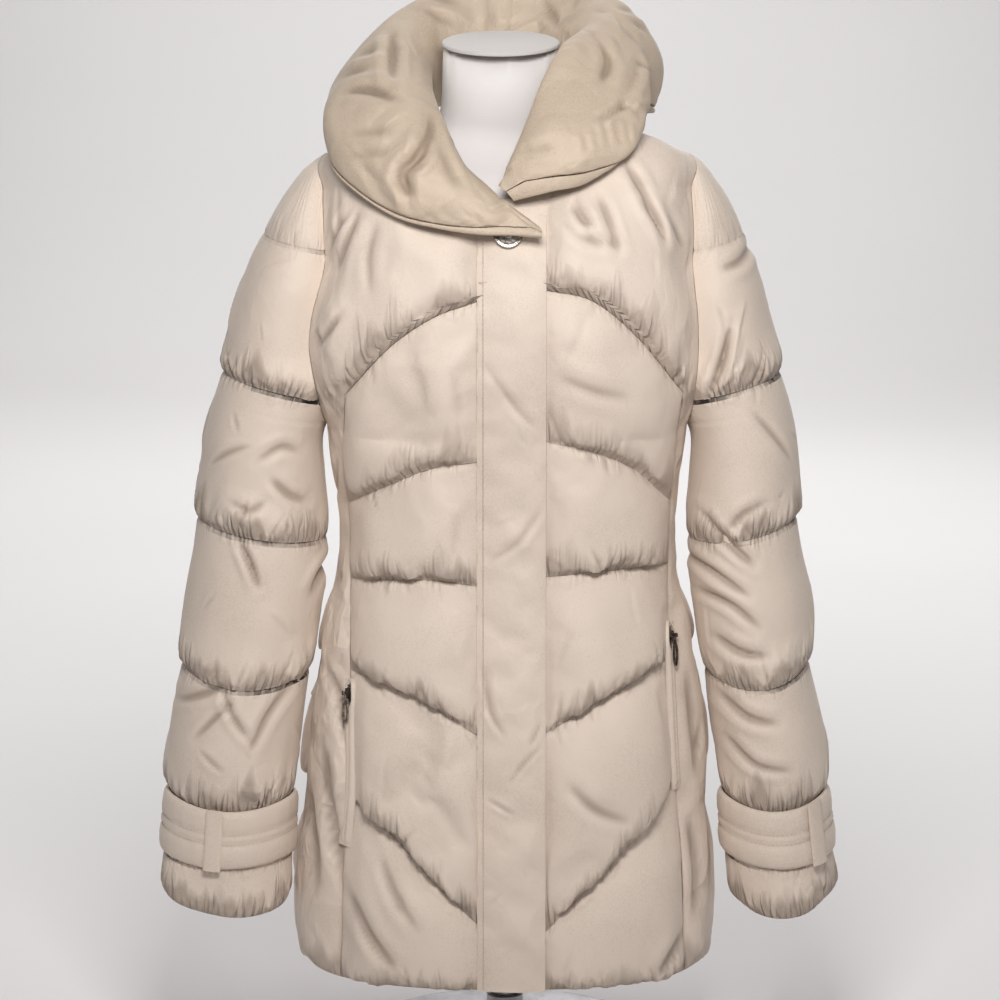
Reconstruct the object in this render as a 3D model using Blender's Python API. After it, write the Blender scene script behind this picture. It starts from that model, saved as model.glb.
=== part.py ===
"""A long puffer coat on a limbless dress form.

Metres, +Z up, the coat's front faces -Y, wearer's right is -X.  The origin is under the middle of the stand's base.
Every panel is a padded wall: a stitched base surface, puffed outwards away from its seams, over a plain inside.
Tables are in millimetres and degrees, and the functions that read them give metres.
"""

import math
from bisect import bisect_right

import bmesh
import bpy
from mathutils import Matrix, Vector
from mathutils.kdtree import KDTree

MM = 0.001
RIGHT, LEFT = -1, 1          # the wearer's sides
FRONT, BACK = -1, 1          # the way a panel faces

# ---------------------------------------------------------------- driving dimensions
HEM_Z = 97 * MM              # height of the hem
SHOULDER_Z = 888 * MM        # height of both shoulder points
SHOULDER_SLOPE = math.tan(math.radians(20))
ARMPIT_Z = 627 * MM
NECK_X = 82 * MM             # half the width of the neckline
NECK_DROP_FRONT = 74 * MM    # how far the neckline falls to the centre front
NECK_RISE_BACK = 8 * MM
CORNER = 2.4                 # how square the body's cross-section is: 2 is an ellipse
SEAM_GAP = 0.3 * MM          # clear space between two sewn pieces
CLOTH = 4 * MM               # the wall at a seam
PUFF_REACH = 38 * MM         # distance from a seam at which the padding is full
ARMHOLE_REACH = 45 * MM
POCKET_FLAT = 6 * MM         # flat cloth on each side of a pocket zip
POCKET_TOP = {RIGHT: 385 * MM, LEFT: 437 * MM}
POCKET_LENGTH = 150 * MM

PLACKET = {RIGHT: -25 * MM, LEFT: 39 * MM}       # its two long edges, seen from the front
PLACKET_TOP = 838 * MM
PLACKET_THICK = 6 * MM
PLACKET_OVER = 1.2 * MM      # it lies this far above the left front
UNDERLAP = -14 * MM          # where the left front ends under the placket

# The coat's base surface at its seams: half widths of the two sides and depths of the front and the back.
# Between the armpit and the shoulder the half width is that of the armhole seam.
BODY = (
    # height, right, left, front, back
    (97, 195, 193, 138, 140),
    (133, 199, 197, 141, 142),
    (185, 198, 195, 142, 142),
    (248, 191, 190, 140, 138),
    (310, 187, 189, 135, 132),
    (371, 179, 183, 127, 122),
    (420, 171, 175, 121, 113),
    (461, 165, 168, 115, 106),
    (511, 159, 164, 111, 100),
    (550, 160, 165, 109, 97),
    (590, 166, 169, 111, 98),
    (627, 172, 176, 114, 101),
    (651, 177, 180, 118, 104),
    (683, 183, 183, 122, 107),
    (710, 186, 184, 124, 109),
    (739, 183, 183, 124, 110),
    (765, 176, 180, 121, 110),
    (789, 171, 178, 116, 108),
    (817, 172, 179, 109, 106),
    (856, 173, 177, 94, 94),
    (888, 171, 176, 76, 78),
    (918, 89, 94, 57, 62),
    (935, 42, 47, 47, 54),
)

# The sleeves' base surface: how far out the outer and inner sides lie, half the depth, and how far forward the
# middle is.  Above the armpit the inner side runs on inside the body, where the armhole seam cuts it off.
SLEEVE = {
    RIGHT: (
        # height, outer, inner, half depth, forward
        (150, 340, 208, 52, 38),
        (205, 334, 208, 50, 36),
        (268, 328, 207, 50, 32),
        (302, 325, 204, 54, 30),
        (345, 320, 198, 56, 26),
        (396, 314, 189, 57, 22),
        (446, 308, 181, 58, 16),
        (500, 300, 174, 60, 10),
        (540, 298, 174, 61, 6),
        (590, 289, 178, 62, 2),
        (612, 287, 177, 63, 0),
        (627, 284, 172.3, 63, 0),
        (655, 278, 158, 64, 0),
        (680, 272, 150, 65, 0),
        (710, 264, 148, 66, 0),
        (739, 256, 146, 66, 0),
        (765, 249, 146, 65, 0),
        (800, 237, 150, 60, 0),
        (840, 217, 158, 48, 0),
        (870, 195, 163, 31, 0),
        (881, 182, 167, 19.5, 0),
        (888, 171.2, 171, 0.1, 0),
    ),
    LEFT: (
        (150, 328, 222, 60, 30),
        (205, 321, 216, 58, 28),
        (268, 313, 213, 57, 24),
        (302, 311, 209, 60, 22),
        (345, 304, 201, 62, 18),
        (396, 296, 194, 63, 14),
        (446, 296, 186, 63, 10),
        (500, 286, 179, 63, 6),
        (540, 283, 179, 63, 3),
        (590, 280, 182, 63, 0),
        (612, 278, 181, 63, 0),
        (627, 276, 176.3, 63, 0),
        (655, 271, 162, 64, 0),
        (680, 265, 154, 65, 0),
        (710, 257, 151, 66, 0),
        (739, 249, 149, 66, 0),
        (765, 243, 150, 65, 0),
        (800, 233, 153, 60, 0),
        (840, 217, 162, 48, 0),
        (870, 197, 168, 31, 0),
        (881, 187, 171, 19.5, 0),
        (888, 176.2, 176, 0.1, 0),
    ),
}

# Cross seams of the sleeves, as heights on the inner and the outer side and how far the front and back hang lower.
SLEEVE_SEAMS = (
    # name, inner, outer, sag
    ("shoulder", 888, 888, 0),
    ("upper", 800, 812, 0),
    ("biceps", 655, 678, 0),
    ("elbow", 517, 537, 4),
    ("forearm", 388, 396, 14),
    ("strap_top", 268, 272, 11),
    ("strap_bottom", 211, 213, 9),
    ("cuff", 164, 176, 15),
)
SLEEVE_PUFF = 9 * MM
SLEEVE_PUFF_INSIDE = 3 * MM  # where the sleeve lies against the body

# Quilting seams of the two centre fronts: heights at the placket, a third and two thirds across, and at the long seam.
QUILT = {
    RIGHT: (
        # placket, third, two thirds, long seam
        (760, 744, 714, 666),
        (606, 599, 580, 557),
        (487, 491, 489, 484),
        (345, 369, 386, 399),
        (163, 204, 248, 277),
    ),
    LEFT: (
        (770, 759, 722, 666),
        (626, 615, 596, 558),
        (496, 498, 499, 496),
        (348, 370, 389, 409),
        (157, 200, 244, 292),
    ),
}

# Distance of the long front seams from the middle.
LONG_SEAM = (
    # height, right, left
    (97, 160, 175),
    (160, 157, 173),
    (212, 156, 171),
    (252, 151, 168),
    (300, 148, 164),
    (400, 149, 159),
    (457, 149, 158),
    (534, 150, 159),
    (600, 155, 163),
    (666, 152, 170),
)

# Quilting seams of the back, as heights at the centre back; on the side seams they meet those of the fronts.
BACK_CENTRE = (725, 600, 480, 350, 210)

# The collar's sections, from the tip over the button round the neck to the end that it covers.
# base is sewn to the neckline, roll faces the neck, crown is the top, rim the outside and edge the free edge.
COLLAR = (
    # base, roll, crown, rim, edge
    ((30, -124, 838), (31, -126, 836), (33, -129, 832), (34, -132, 828), (34, -134, 822)),
    ((5, -117, 846), (3, -120, 848), (8, -124, 841), (10, -131, 832), (8, -134, 823)),
    ((-12, -113, 852), (-9, -116, 855), (-16, -124, 847), (-22, -131, 835), (-26, -134, 824)),
    ((-34, -93, 870), (-35, -100, 880), (-46, -118, 867), (-58, -127, 846), (-64, -128, 829)),
    ((-56, -75, 893), (-52, -80, 904), (-72, -108, 895), (-92, -120, 862), (-101, -117, 838)),
    ((-72, -53, 914), (-66, -52, 930), (-92, -88, 928), (-126, -102, 885), (-136, -100, 858)),
    ((-83, -6, 926), (-74, -20, 952), (-106, -50, 966), (-158, -68, 918), (-162, -70, 880)),
    ((-77, 24, 928), (-74, 18, 974), (-118, -8, 990), (-168, -22, 938), (-165, -30, 907)),
    ((-52, 43, 930), (-58, 54, 1002), (-92, 56, 1024), (-140, 58, 968), (-146, 50, 910)),
    ((-2, 57, 933), (0, 70, 1000), (4, 96, 1050), (4, 140, 1000), (4, 128, 938)),
    ((50, 44, 934), (56, 54, 1004), (100, 54, 1028), (136, 62, 978), (132, 60, 922)),
    ((77, 24, 930), (72, 16, 992), (106, 8, 1006), (139, -6, 964), (133, -10, 929)),
    ((84, -6, 929), (58, -30, 986), (90, -38, 974), (134, -52, 938), (126, -56, 916)),
    ((74, -50, 918), (40, -60, 958), (72, -78, 940), (112, -90, 904), (105, -91, 890)),
    ((54, -77, 893), (25, -80, 920), (43, -97, 920), (74, -109, 893), (75, -108, 869)),
    ((30, -93, 873), (11, -94, 888), (18, -105, 893), (40, -115, 878), (43, -116, 862)),
    ((8, -98, 857), (-1, -99, 864), (-4, -105, 865), (3, -110, 860), (9, -110, 853)),
)
COLLAR_THICK = 13 * MM
COLLAR_THIN = 5 * MM         # at its seams
COLLAR_ROWS = 42
BAND_WIDE = {RIGHT: 7 * MM, LEFT: 18 * MM}       # the band that finishes the collar's edge
BAND_THICK = 5.5 * MM

# The dress form, turned about an upright line a little to the wearer's right.
FORM_X = -4 * MM
FORM = (
    # height, half width, front, back
    (300, 140, 86, 96),
    (330, 151, 94, 104),
    (380, 149, 92, 104),
    (440, 136, 84, 92),
    (500, 121, 76, 80),
    (545, 115, 73, 75),
    (600, 124, 82, 78),
    (660, 138, 97, 84),
    (700, 146, 103, 88),
    (750, 152, 98, 92),
    (800, 154, 90, 92),
    (840, 154, 80, 84),
    (868, 151, 70, 74),
    (878, 139, 58, 65),
    (888, 119, 49, 56),
    (897, 93, 44, 50),
    (906, 72, 43, 48),
    (916, 61, 44, 49),
    (932, 57, 51, 51),
    (990, 56, 52, 52),
)
FORM_SIDES = 24
CAP_TILT = math.radians(8.5)
CAP_THICK = 4 * MM
POLE_RADIUS = 14 * MM
FLANGE_RADIUS = 45 * MM
FLANGE_THICK = 8 * MM
BASE_RADIUS = 150 * MM
BASE_THICK = 14 * MM

BUTTON_AT = Vector((3 * MM, 0, 820 * MM))
BUTTON_RADIUS = 14 * MM
BUTTON_DOME = 6 * MM

STRAP_THICK = 5 * MM
LOOP_WIDE = 15 * MM
LOOP_THICK = 2 * MM
LOOP_TURN = {RIGHT: 100, LEFT: 128}              # degrees round the sleeve, from its inner side over the front

# The pull tab of a pocket zip, hung on the pin of its slider.
PIN_RADIUS = 0.8 * MM
PIN_OUT = 6.7 * MM           # the pin's distance from the seam
EYE_RADIUS = 2.1 * MM
EYE_HALF = 1.6 * MM
TAB_LENGTH = 30 * MM
TAB_WIDE = 8 * MM
TAB_THICK = 1.6 * MM

COLOURS = {
    "shell": ((0.66, 0.58, 0.47), 0.45, 0.0),
    "collar": ((0.66, 0.57, 0.44), 0.45, 0.0),
    "form": ((0.85, 0.83, 0.80), 0.7, 0.0),
    "stand": ((0.70, 0.70, 0.70), 0.3, 1.0),
    "silver": ((0.62, 0.60, 0.58), 0.3, 1.0),
    "zip": ((0.28, 0.26, 0.25), 0.35, 1.0),
}


# ---------------------------------------------------------------- reading the tables
def smooth(table, column, height):
    """The table's column at a height, in metres: a cubic through its values, level beyond its ends."""
    heights = [row[0] for row in table]
    values = [row[column] for row in table]
    at = height / MM
    if at <= heights[0]:
        return values[0] * MM
    if at >= heights[-1]:
        return values[-1] * MM
    i = bisect_right(heights, at) - 1

    def slope(k):
        low, high = max(k - 1, 0), min(k + 1, len(heights) - 1)
        return (values[high] - values[low]) / (heights[high] - heights[low])

    step = heights[i + 1] - heights[i]
    t = (at - heights[i]) / step
    start = values[i] * (1 + 2 * t) * (1 - t) ** 2 + step * slope(i) * t * (1 - t) ** 2
    end = values[i + 1] * t * t * (3 - 2 * t) + step * slope(i + 1) * t * t * (t - 1)
    return (start + end) * MM


def ease(low, high, value):
    """0 below low, 1 above high, and a smooth step between."""
    t = min(max((value - low) / (high - low), 0), 1)
    return t * t * (3 - 2 * t)


def spline(points, t):
    """A point on the smooth curve through points, for t from 0 to 1."""
    last = len(points) - 1
    i = min(int(t * last), last - 1)
    u = t * last - i
    a, b, c, d = (points[min(max(k, 0), last)] for k in (i - 1, i, i + 1, i + 2))
    return 0.5 * (2 * b + u * (c - a) + u * u * (2 * a - 5 * b + 4 * c - d) + u ** 3 * (3 * b - 3 * c + d - a))


# ---------------------------------------------------------------- the base surfaces
def column_of(side):
    return 1 if side == RIGHT else 2


def depth(facing, z):
    return smooth(BODY, 3 if facing == FRONT else 4, z)


def seam_x(side, z):
    """Half width of the body below the armpit, the armhole seam above it, and the shoulder seam above that."""
    if z > SHOULDER_Z:
        return smooth(BODY, column_of(side), SHOULDER_Z) - (z - SHOULDER_Z) / SHOULDER_SLOPE
    return smooth(BODY, column_of(side), z)


def sleeve_section(side, z):
    """Middle, half width, half depth and forward shift of a level cut through the sleeve."""
    outer, inner, deep, forward = (smooth(SLEEVE[side], k, z) for k in (1, 2, 3, 4))
    return (outer + inner) / 2, (outer - inner) / 2, deep, forward


def armhole_reach(side, z):
    """How far the armhole lies in front of the shoulder at a height."""
    if not ARMPIT_Z < z < SHOULDER_Z:
        return 0
    middle, half, deep, _ = sleeve_section(side, z)
    k = (middle - seam_x(side, z)) / half
    return deep * math.sqrt(max(0, 1 - k * k))


def half_width(side, z):
    """Half width of the body's cross-section, which runs on a little inside the sleeve."""
    share = armhole_reach(side, z) / depth(FRONT, z)
    return seam_x(side, z) / (1 - share ** CORNER) ** (1 / CORNER)


def torso(x, facing, z):
    """Point of the body's base surface at x, and the outward direction there."""
    side = LEFT if x > 0 else RIGHT
    w, d = half_width(side, z), depth(facing, z)
    across = min(abs(x) / w, 1)
    along = (1 - across ** CORNER) ** (1 / CORNER)
    step = 0.5 * MM
    widen = (half_width(side, z + step) - half_width(side, z - step)) / (2 * step)
    deepen = (depth(facing, z + step) - depth(facing, z - step)) / (2 * step)
    rise = -across ** CORNER * widen / w - along ** CORNER * deepen / d
    out = Vector((side * across ** (CORNER - 1) / w, facing * along ** (CORNER - 1) / d, rise))
    return Vector((side * across * w, facing * along * d, z)), out.normalized()


def neck_z(side):
    return SHOULDER_Z + (seam_x(side, SHOULDER_Z) - NECK_X) * SHOULDER_SLOPE


def top_z(side, facing, x):
    """Height of a panel's upper edge: the neckline, then the shoulder seam."""
    if x >= NECK_X:
        return SHOULDER_Z + (seam_x(side, SHOULDER_Z) - x) * SHOULDER_SLOPE
    share = x / NECK_X
    if facing == FRONT:
        return neck_z(side) - NECK_DROP_FRONT * (1 - share ** 1.5)
    return neck_z(side) + NECK_RISE_BACK * (1 - share ** 2)


def long_seam_x(side, z):
    return smooth(LONG_SEAM, column_of(side), z)


def quilt_z(side, seam, t):
    """Height of a centre front's quilting seam, t from 0 at the placket to 1 at the long seam."""
    a, b, c, d = (value * MM for value in QUILT[side][seam])
    position = min(max(t, 0), 1) * 3
    i = min(int(position), 2)
    row = (2 * a - b, a, b, c, d, 2 * d - c)
    return spline_four(row[i:i + 4], position - i)


def spline_four(row, u):
    a, b, c, d = row
    return 0.5 * (2 * b + u * (c - a) + u * u * (2 * a - 5 * b + 4 * c - d) + u ** 3 * (3 * b - 3 * c + d - a))


def wrap_x(side, z, start, t):
    """x between start and the armhole or side seam: even steps at the chest, even turns round the side below it."""
    end = seam_x(side, z)
    straight = start + (end - start) * t
    w = half_width(side, z)
    first, last = (math.asin(min(x / w, 1) ** (CORNER / 2)) for x in (start, end))
    turned = w * math.sin(first + (last - first) * t) ** (2 / CORNER)
    blend = ease(740 * MM, 670 * MM, z) if z < 740 * MM else 0
    return straight + (turned - straight) * blend


# ---------------------------------------------------------------- padding
class Seams:
    """Points along sewn lines, for the distance to the nearest."""

    TOLERANCE = 1.2 * MM

    def __init__(self, lines):
        points = [p for line in lines for a, b in zip(line, line[1:]) for p in self.between(a, b)]
        self.tree = KDTree(len(points))
        for index, point in enumerate(points):
            self.tree.insert(point, index)
        self.tree.balance()

    @staticmethod
    def between(a, b, spacing=2 * MM):
        count = max(1, int((b - a).length / spacing))
        return [a.lerp(b, k / count) for k in range(count + 1)]

    def distance(self, point):
        return max(self.tree.find(point)[2] - self.TOLERANCE, 0)


def dome(distance, reach):
    share = min(distance / reach, 1)
    return 1 - (1 - share) ** 2


def puffed(distance):
    """Share of the full padding at a distance from the nearest seam: steep at the seam, then a round crown."""
    return dome(distance, PUFF_REACH) ** 0.6


def zip_relief(side, point):
    """0 on the flat cloth beside a pocket zip, 1 away from it."""
    z = point.z
    if not POCKET_TOP[side] - POCKET_LENGTH - 20 * MM < z < POCKET_TOP[side] + 20 * MM:
        return 1
    seam = torso(side * long_seam_x(side, z), FRONT, z)[0]
    return ease(POCKET_FLAT, 4 * POCKET_FLAT, (point - seam).length)


# ---------------------------------------------------------------- building solids
def material(name):
    made = bpy.data.materials.get(name)
    if made:
        return made
    colour, roughness, metallic = COLOURS[name]
    made = bpy.data.materials.new(name)
    made.use_nodes = True
    shader = made.node_tree.nodes["Principled BSDF"]
    shader.inputs["Base Color"].default_value = (*colour, 1)
    shader.inputs["Roughness"].default_value = roughness
    shader.inputs["Metallic"].default_value = metallic
    made.diffuse_color = (*colour, 1)
    return made


def solid(name, points, faces, finish):
    """A new object from points and faces, with its faces turned outwards."""
    mesh = bpy.data.meshes.new(name)
    mesh.from_pydata([tuple(p) for p in points], [], faces)
    body = bmesh.new()
    body.from_mesh(mesh)
    bmesh.ops.recalc_face_normals(body, faces=body.faces)
    bmesh.ops.triangulate(body, faces=body.faces)
    body.to_mesh(mesh)
    body.free()
    mesh.shade_smooth()
    mesh.set_sharp_from_angle(angle=math.radians(45))
    made = bpy.data.objects.new(name, mesh)
    bpy.context.scene.collection.objects.link(made)
    made.data.materials.append(material(finish))
    return made


def wall(name, outer, inner, rows, cols, finish, same=lambda key: key):
    """A padded wall from a fine outer grid and an inner one that keeps only some rows and columns.

    outer and inner map (row, column) to a point, and leave out cells where there is no cloth.  same gives the
    key of the point that a grid point is sewn to.  Every open edge gets a rim from the outer skin to the inner.
    """
    points, faces, outside, inside = [], [], {}, {}

    def number(book, source, key):
        key = same(key)
        if key not in book:
            book[key] = len(points)
            points.append(source[key])
        return book[key]

    def skin(book, source, row_steps, col_steps, flip):
        for r0, r1 in zip(row_steps, row_steps[1:]):
            for c0, c1 in zip(col_steps, col_steps[1:]):
                corners = [(r0, c0), (r1, c0), (r1, c1), (r0, c1)]
                if all(same(corner) in source for corner in corners):
                    ring = list(dict.fromkeys(number(book, source, corner) for corner in corners))
                    if len(ring) > 2:
                        faces.append(ring[::-1] if flip else ring)

    last_row = max(key[0] for key in outer)
    last_col = max(key[1] for key in outer)
    skin(outside, outer, range(last_row + 1), range(last_col + 1), False)
    edges = {(a, b) for ring in faces for a, b in zip(ring, ring[1:] + ring[:1])}
    follow = {a: b for a, b in edges if (b, a) not in edges}
    skin(inside, inner, rows, cols, True)
    twin = {outside[key]: inside[key] for key in inside if key in outside}
    while follow:
        start = next(v for v in follow if v in twin)
        here = start
        while True:
            chain = [here]
            while chain[-1] not in twin or len(chain) == 1:
                chain.append(follow.pop(chain[-1]))
            first, last = twin[chain[0]], twin[chain[-1]]
            middle = (len(chain) - 1) // 2
            ends = [(round(points[v].z, 5), abs(points[v].x)) for v in (chain[0], chain[-1])]
            if ends[0] < ends[1]:
                middle = len(chain) - 1 - middle
            for k, (a, b) in enumerate(zip(chain, chain[1:])):
                faces.append([b, a, first if k < middle else last])
            faces.append([chain[middle], first, last])
            here = chain[-1]
            if here == start:
                break
    return solid(name, points, faces, finish)


def turned(name, profile, centre, axis, sides, finish):
    """A solid of revolution: profile is (distance out, distance along the axis), both ends on the axis."""
    axis = axis.normalized()
    across = axis.orthogonal().normalized()
    up = axis.cross(across)
    points = [centre + axis * profile[0][1]]
    for out, along in profile[1:-1]:
        for k in range(sides):
            angle = 2 * math.pi * k / sides
            points.append(centre + axis * along + out * (across * math.cos(angle) + up * math.sin(angle)))
    points.append(centre + axis * profile[-1][1])
    rings = len(profile) - 2
    faces = []
    for k in range(sides):
        after = (k + 1) % sides
        faces.append([0, 1 + k, 1 + after])
        for ring in range(rings - 1):
            low, high = 1 + ring * sides, 1 + (ring + 1) * sides
            faces.append([low + k, high + k, high + after, low + after])
        faces.append([len(points) - 1, 1 + (rings - 1) * sides + after, 1 + (rings - 1) * sides + k])
    return solid(name, points, faces, finish)


def loft(name, rings, finish):
    """A closed solid through rings of equal count, flat at both ends."""
    count = len(rings[0])
    points = [p for ring in rings for p in ring]
    faces = [list(range(count))[::-1], [len(points) - count + k for k in range(count)]]
    for r in range(len(rings) - 1):
        for k in range(count):
            after = (k + 1) % count
            faces.append([r * count + k, r * count + after, (r + 1) * count + after, (r + 1) * count + k])
    return solid(name, points, faces, finish)


def union(whole, parts):
    """Adds the parts to the whole; the parts stay behind as hidden helpers."""
    for part in parts:
        part.hide_render = True
        part.display_type = "WIRE"
        join = whole.modifiers.new(part.name, "BOOLEAN")
        join.operation = "UNION"
        join.solver = "EXACT"
        join.object = part


# ---------------------------------------------------------------- rows and columns shared by sewn pieces
CHEST_ROWS = 9
CHEST_CURVE = 2.28           # rows bunch towards the shoulder, where the cloth turns over
Q_CORNER_Z = 666 * MM        # where the top quilting line turns into the long seam
ARMHOLE = [SHOULDER_Z - (SHOULDER_Z - Q_CORNER_Z) * (k / CHEST_ROWS) ** CHEST_CURVE for k in range(CHEST_ROWS + 1)]
ARMHOLE += [655 * MM, 641 * MM, 632 * MM, ARMPIT_Z]
BAND_STEPS = (0, 0.07, 0.22, 0.5, 0.78, 0.93)
PANEL_STEPS = (0, 0.06, 0.2, 0.36, 0.5, 0.64, 0.8, 0.94, 1)
SIDE_STEPS = (0, 0.1, 0.3, 0.5, 0.7, 0.9, 1)


def bands(levels, steps=BAND_STEPS):
    """Every level, with padded rows between."""
    rows = [a + (b - a) * s for a, b in zip(levels, levels[1:]) for s in steps]
    return rows + [levels[-1]]


def side_levels(side):
    """Heights at which the quilting seams end on the long seam and on the side seam, and the hem."""
    return [row[3] * MM for row in QUILT[side]] + [HEM_Z]


def side_rows(side):
    """Row heights on the long seam and on the side seam, shared by every panel that meets there."""
    levels = side_levels(side)
    first = ARMHOLE[CHEST_ROWS:]
    first += [ARMPIT_Z + (levels[1] - ARMPIT_Z) * share for share in (0.3, 0.6, 0.86)]
    return first + bands(levels[1:])


def band_of(side, row):
    """Which quilted band a row lies in, and how far down it."""
    levels, z = side_levels(side), side_rows(side)[row]
    band = max(k for k in range(len(levels) - 1) if levels[k] > z - 0.01 * MM)
    return band, (levels[band] - z) / (levels[band] - levels[band + 1])


SIDE_ROW_COUNT = len(side_rows(RIGHT))
KEEP_CHEST = list(range(CHEST_ROWS + 1))
KEEP_SIDE = [0, 2, 4, 6] + list(range(8, SIDE_ROW_COUNT, 3))


def evenly(first, last, count):
    return [round(first + (last - first) * k / count) for k in range(count + 1)]


# ---------------------------------------------------------------- the coat's panels
def front_edge(side):
    return abs(PLACKET[side])


def under_columns(side):
    """Columns of the left front that run on under the placket."""
    return [] if side == RIGHT else [UNDERLAP, 12 * MM, 28 * MM]


def panel_columns(side):
    under = len(under_columns(side))
    return sorted({0, under} | {under + k for k in range(2, len(PANEL_STEPS), 2)})


def centre_front(side):
    """The quilted panel between the placket and the long seam; the left one runs on under the placket."""
    name = "centre_front_right" if side == RIGHT else "centre_front_left"
    under = under_columns(side)
    levels = len(QUILT[side])

    def level_z(seam, t):
        return quilt_z(side, seam, t) if seam < levels else HEM_Z

    def place(z, t):
        start, end = front_edge(side) + SEAM_GAP / 2, long_seam_x(side, z) - SEAM_GAP / 2
        return side * (start + (end - start) * t)

    lines = [[torso(place(level_z(seam, k / 20), k / 20), FRONT, level_z(seam, k / 20))[0] for k in range(21)]
             for seam in range(levels + 1)]
    for t in (0, 1):
        top = level_z(0, t)
        heights = [top + (HEM_Z - top) * k / 30 for k in range(31)]
        lines.append([torso(place(z, t), FRONT, z)[0] for z in heights])
    seams = Seams(lines)
    keep_cols = panel_columns(side)
    outer, inner = {}, {}
    for row in range(SIDE_ROW_COUNT):
        band, share = band_of(side, row)
        for col in range(len(under) + len(PANEL_STEPS)):
            t = PANEL_STEPS[col - len(under)] if col >= len(under) else 0
            z = level_z(band, t) + (level_z(band + 1, t) - level_z(band, t)) * share
            if row == 0:
                z -= SEAM_GAP / 2
            x = place(z, t) if col >= len(under) else under[col]
            point, out = torso(x, FRONT, z)
            height = 0
            if col >= len(under):
                height = PANEL_PUFF * puffed(seams.distance(point)) * zip_relief(side, point)
            outer[row, col] = point + out * height
            if row in KEEP_SIDE and col in keep_cols:
                inner[row, col] = point - out * CLOTH
    return wall(name, outer, inner, KEEP_SIDE, keep_cols, "shell")


PANEL_PUFF = 12 * MM
SIDE_PUFF = 8 * MM


def front_seams(side):
    """The sewn lines round a yoke and side front, but for the armhole."""
    edge = front_edge(side) + SEAM_GAP / 2
    top = [torso(side * x, FRONT, top_z(side, FRONT, x))[0]
           for x in (edge + (seam_x(side, SHOULDER_Z) - edge) * k / 24 for k in range(25))]
    high, low = top_z(side, FRONT, edge), quilt_z(side, 0, 0)
    middle = [torso(side * edge, FRONT, high + (low - high) * k / 12)[0] for k in range(13)]
    quilt = []
    for k in range(21):
        z = quilt_z(side, 0, k / 20)
        quilt.append(torso(side * (edge + (long_seam_x(side, z) - edge) * k / 20), FRONT, z)[0])
    heights = [Q_CORNER_Z + (HEM_Z - Q_CORNER_Z) * k / 30 for k in range(31)]
    long_line = [torso(side * long_seam_x(side, z), FRONT, z)[0] for z in heights]
    below = [ARMPIT_Z + (HEM_Z - ARMPIT_Z) * k / 30 for k in range(31)]
    side_line = [torso(side * seam_x(side, z), FRONT, z)[0] for z in below]
    hem = [torso(side * wrap_x(side, HEM_Z, long_seam_x(side, HEM_Z), k / 8), FRONT, HEM_Z)[0] for k in range(9)]
    return Seams([top, middle, quilt, long_line, side_line, hem])


def armhole_line(side, facing):
    return [torso(side * seam_x(side, z), facing, z)[0]
            for z in (SHOULDER_Z + (ARMPIT_Z - SHOULDER_Z) * k / 40 for k in range(41))]


def pressed(side, z):
    """How much of the padding stays at the side of the body, where the sleeve lies against it."""
    return 1 - 0.65 * ease(440 * MM, 490 * MM, z) * (1 - ease(650 * MM, 690 * MM, z))


def yoke_front(side):
    """Shoulder, bust and side front in one piece, bounded below by the top quilting line and the long seam."""
    name = "yoke_side_right" if side == RIGHT else "yoke_side_left"
    seams, armhole = front_seams(side), Seams([armhole_line(side, FRONT)])
    edge = front_edge(side) + SEAM_GAP / 2
    under = under_columns(side)
    across = list(PANEL_STEPS) + [1 + s for s in SIDE_STEPS[1:]]
    turn = len(under) + len(PANEL_STEPS) - 1
    heights = ARMHOLE[:CHEST_ROWS] + side_rows(side)

    def place(row, col):
        """x and height of a grid point."""
        t = across[max(col - len(under), 0)]
        if row > CHEST_ROWS:
            z = heights[row]
            return wrap_x(side, z, long_seam_x(side, z) + SEAM_GAP / 2, t - 1), z
        share = (row / CHEST_ROWS) ** CHEST_CURVE
        corner_x = long_seam_x(side, Q_CORNER_Z) + SEAM_GAP / 2
        tip = seam_x(side, SHOULDER_Z)
        top_x = edge + (corner_x - edge) * min(t, 1) + (tip - corner_x) * max(t - 1, 0)
        if col < len(under):
            top_x = under[col]
        low = quilt_z(side, 0, t) + SEAM_GAP / 2 if t < 1 else Q_CORNER_Z
        top = top_z(side, FRONT, abs(top_x))
        z = top + (low - top) * share
        if t <= 1 or row == 0:
            return top_x, z
        return wrap_x(side, z, corner_x, t - 1), z

    keep_rows = KEEP_CHEST[:-1] + [CHEST_ROWS + k for k in KEEP_SIDE]
    keep_cols = panel_columns(side) + [turn + 2, turn + 4, turn + 6]
    outer, inner = {}, {}
    for row in range(len(heights)):
        for col in range(0 if row <= CHEST_ROWS else turn, turn + len(SIDE_STEPS)):
            x, z = place(row, col)
            point, out = torso(side * x, FRONT, z)
            full = SIDE_PUFF + (PANEL_PUFF - SIDE_PUFF) * ease(600 * MM, 700 * MM, z)
            height = full * puffed(seams.distance(point)) * pressed(side, z)
            height *= ease(0, ARMHOLE_REACH, armhole.distance(point)) * zip_relief(side, point)
            if col < len(under):
                height = 0
            point.y = min(point.y, -SEAM_GAP / 2)
            outer[row, col] = point + out * height
            if row in keep_rows and col in keep_cols:
                inner[row, col] = point - out * CLOTH
    return wall(name, outer, inner, keep_rows, keep_cols, "shell")


BACK_STEPS = (0, 0.1, 0.25, 0.4, 0.54, 0.66, 0.78, 0.88, 0.96, 1)


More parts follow.
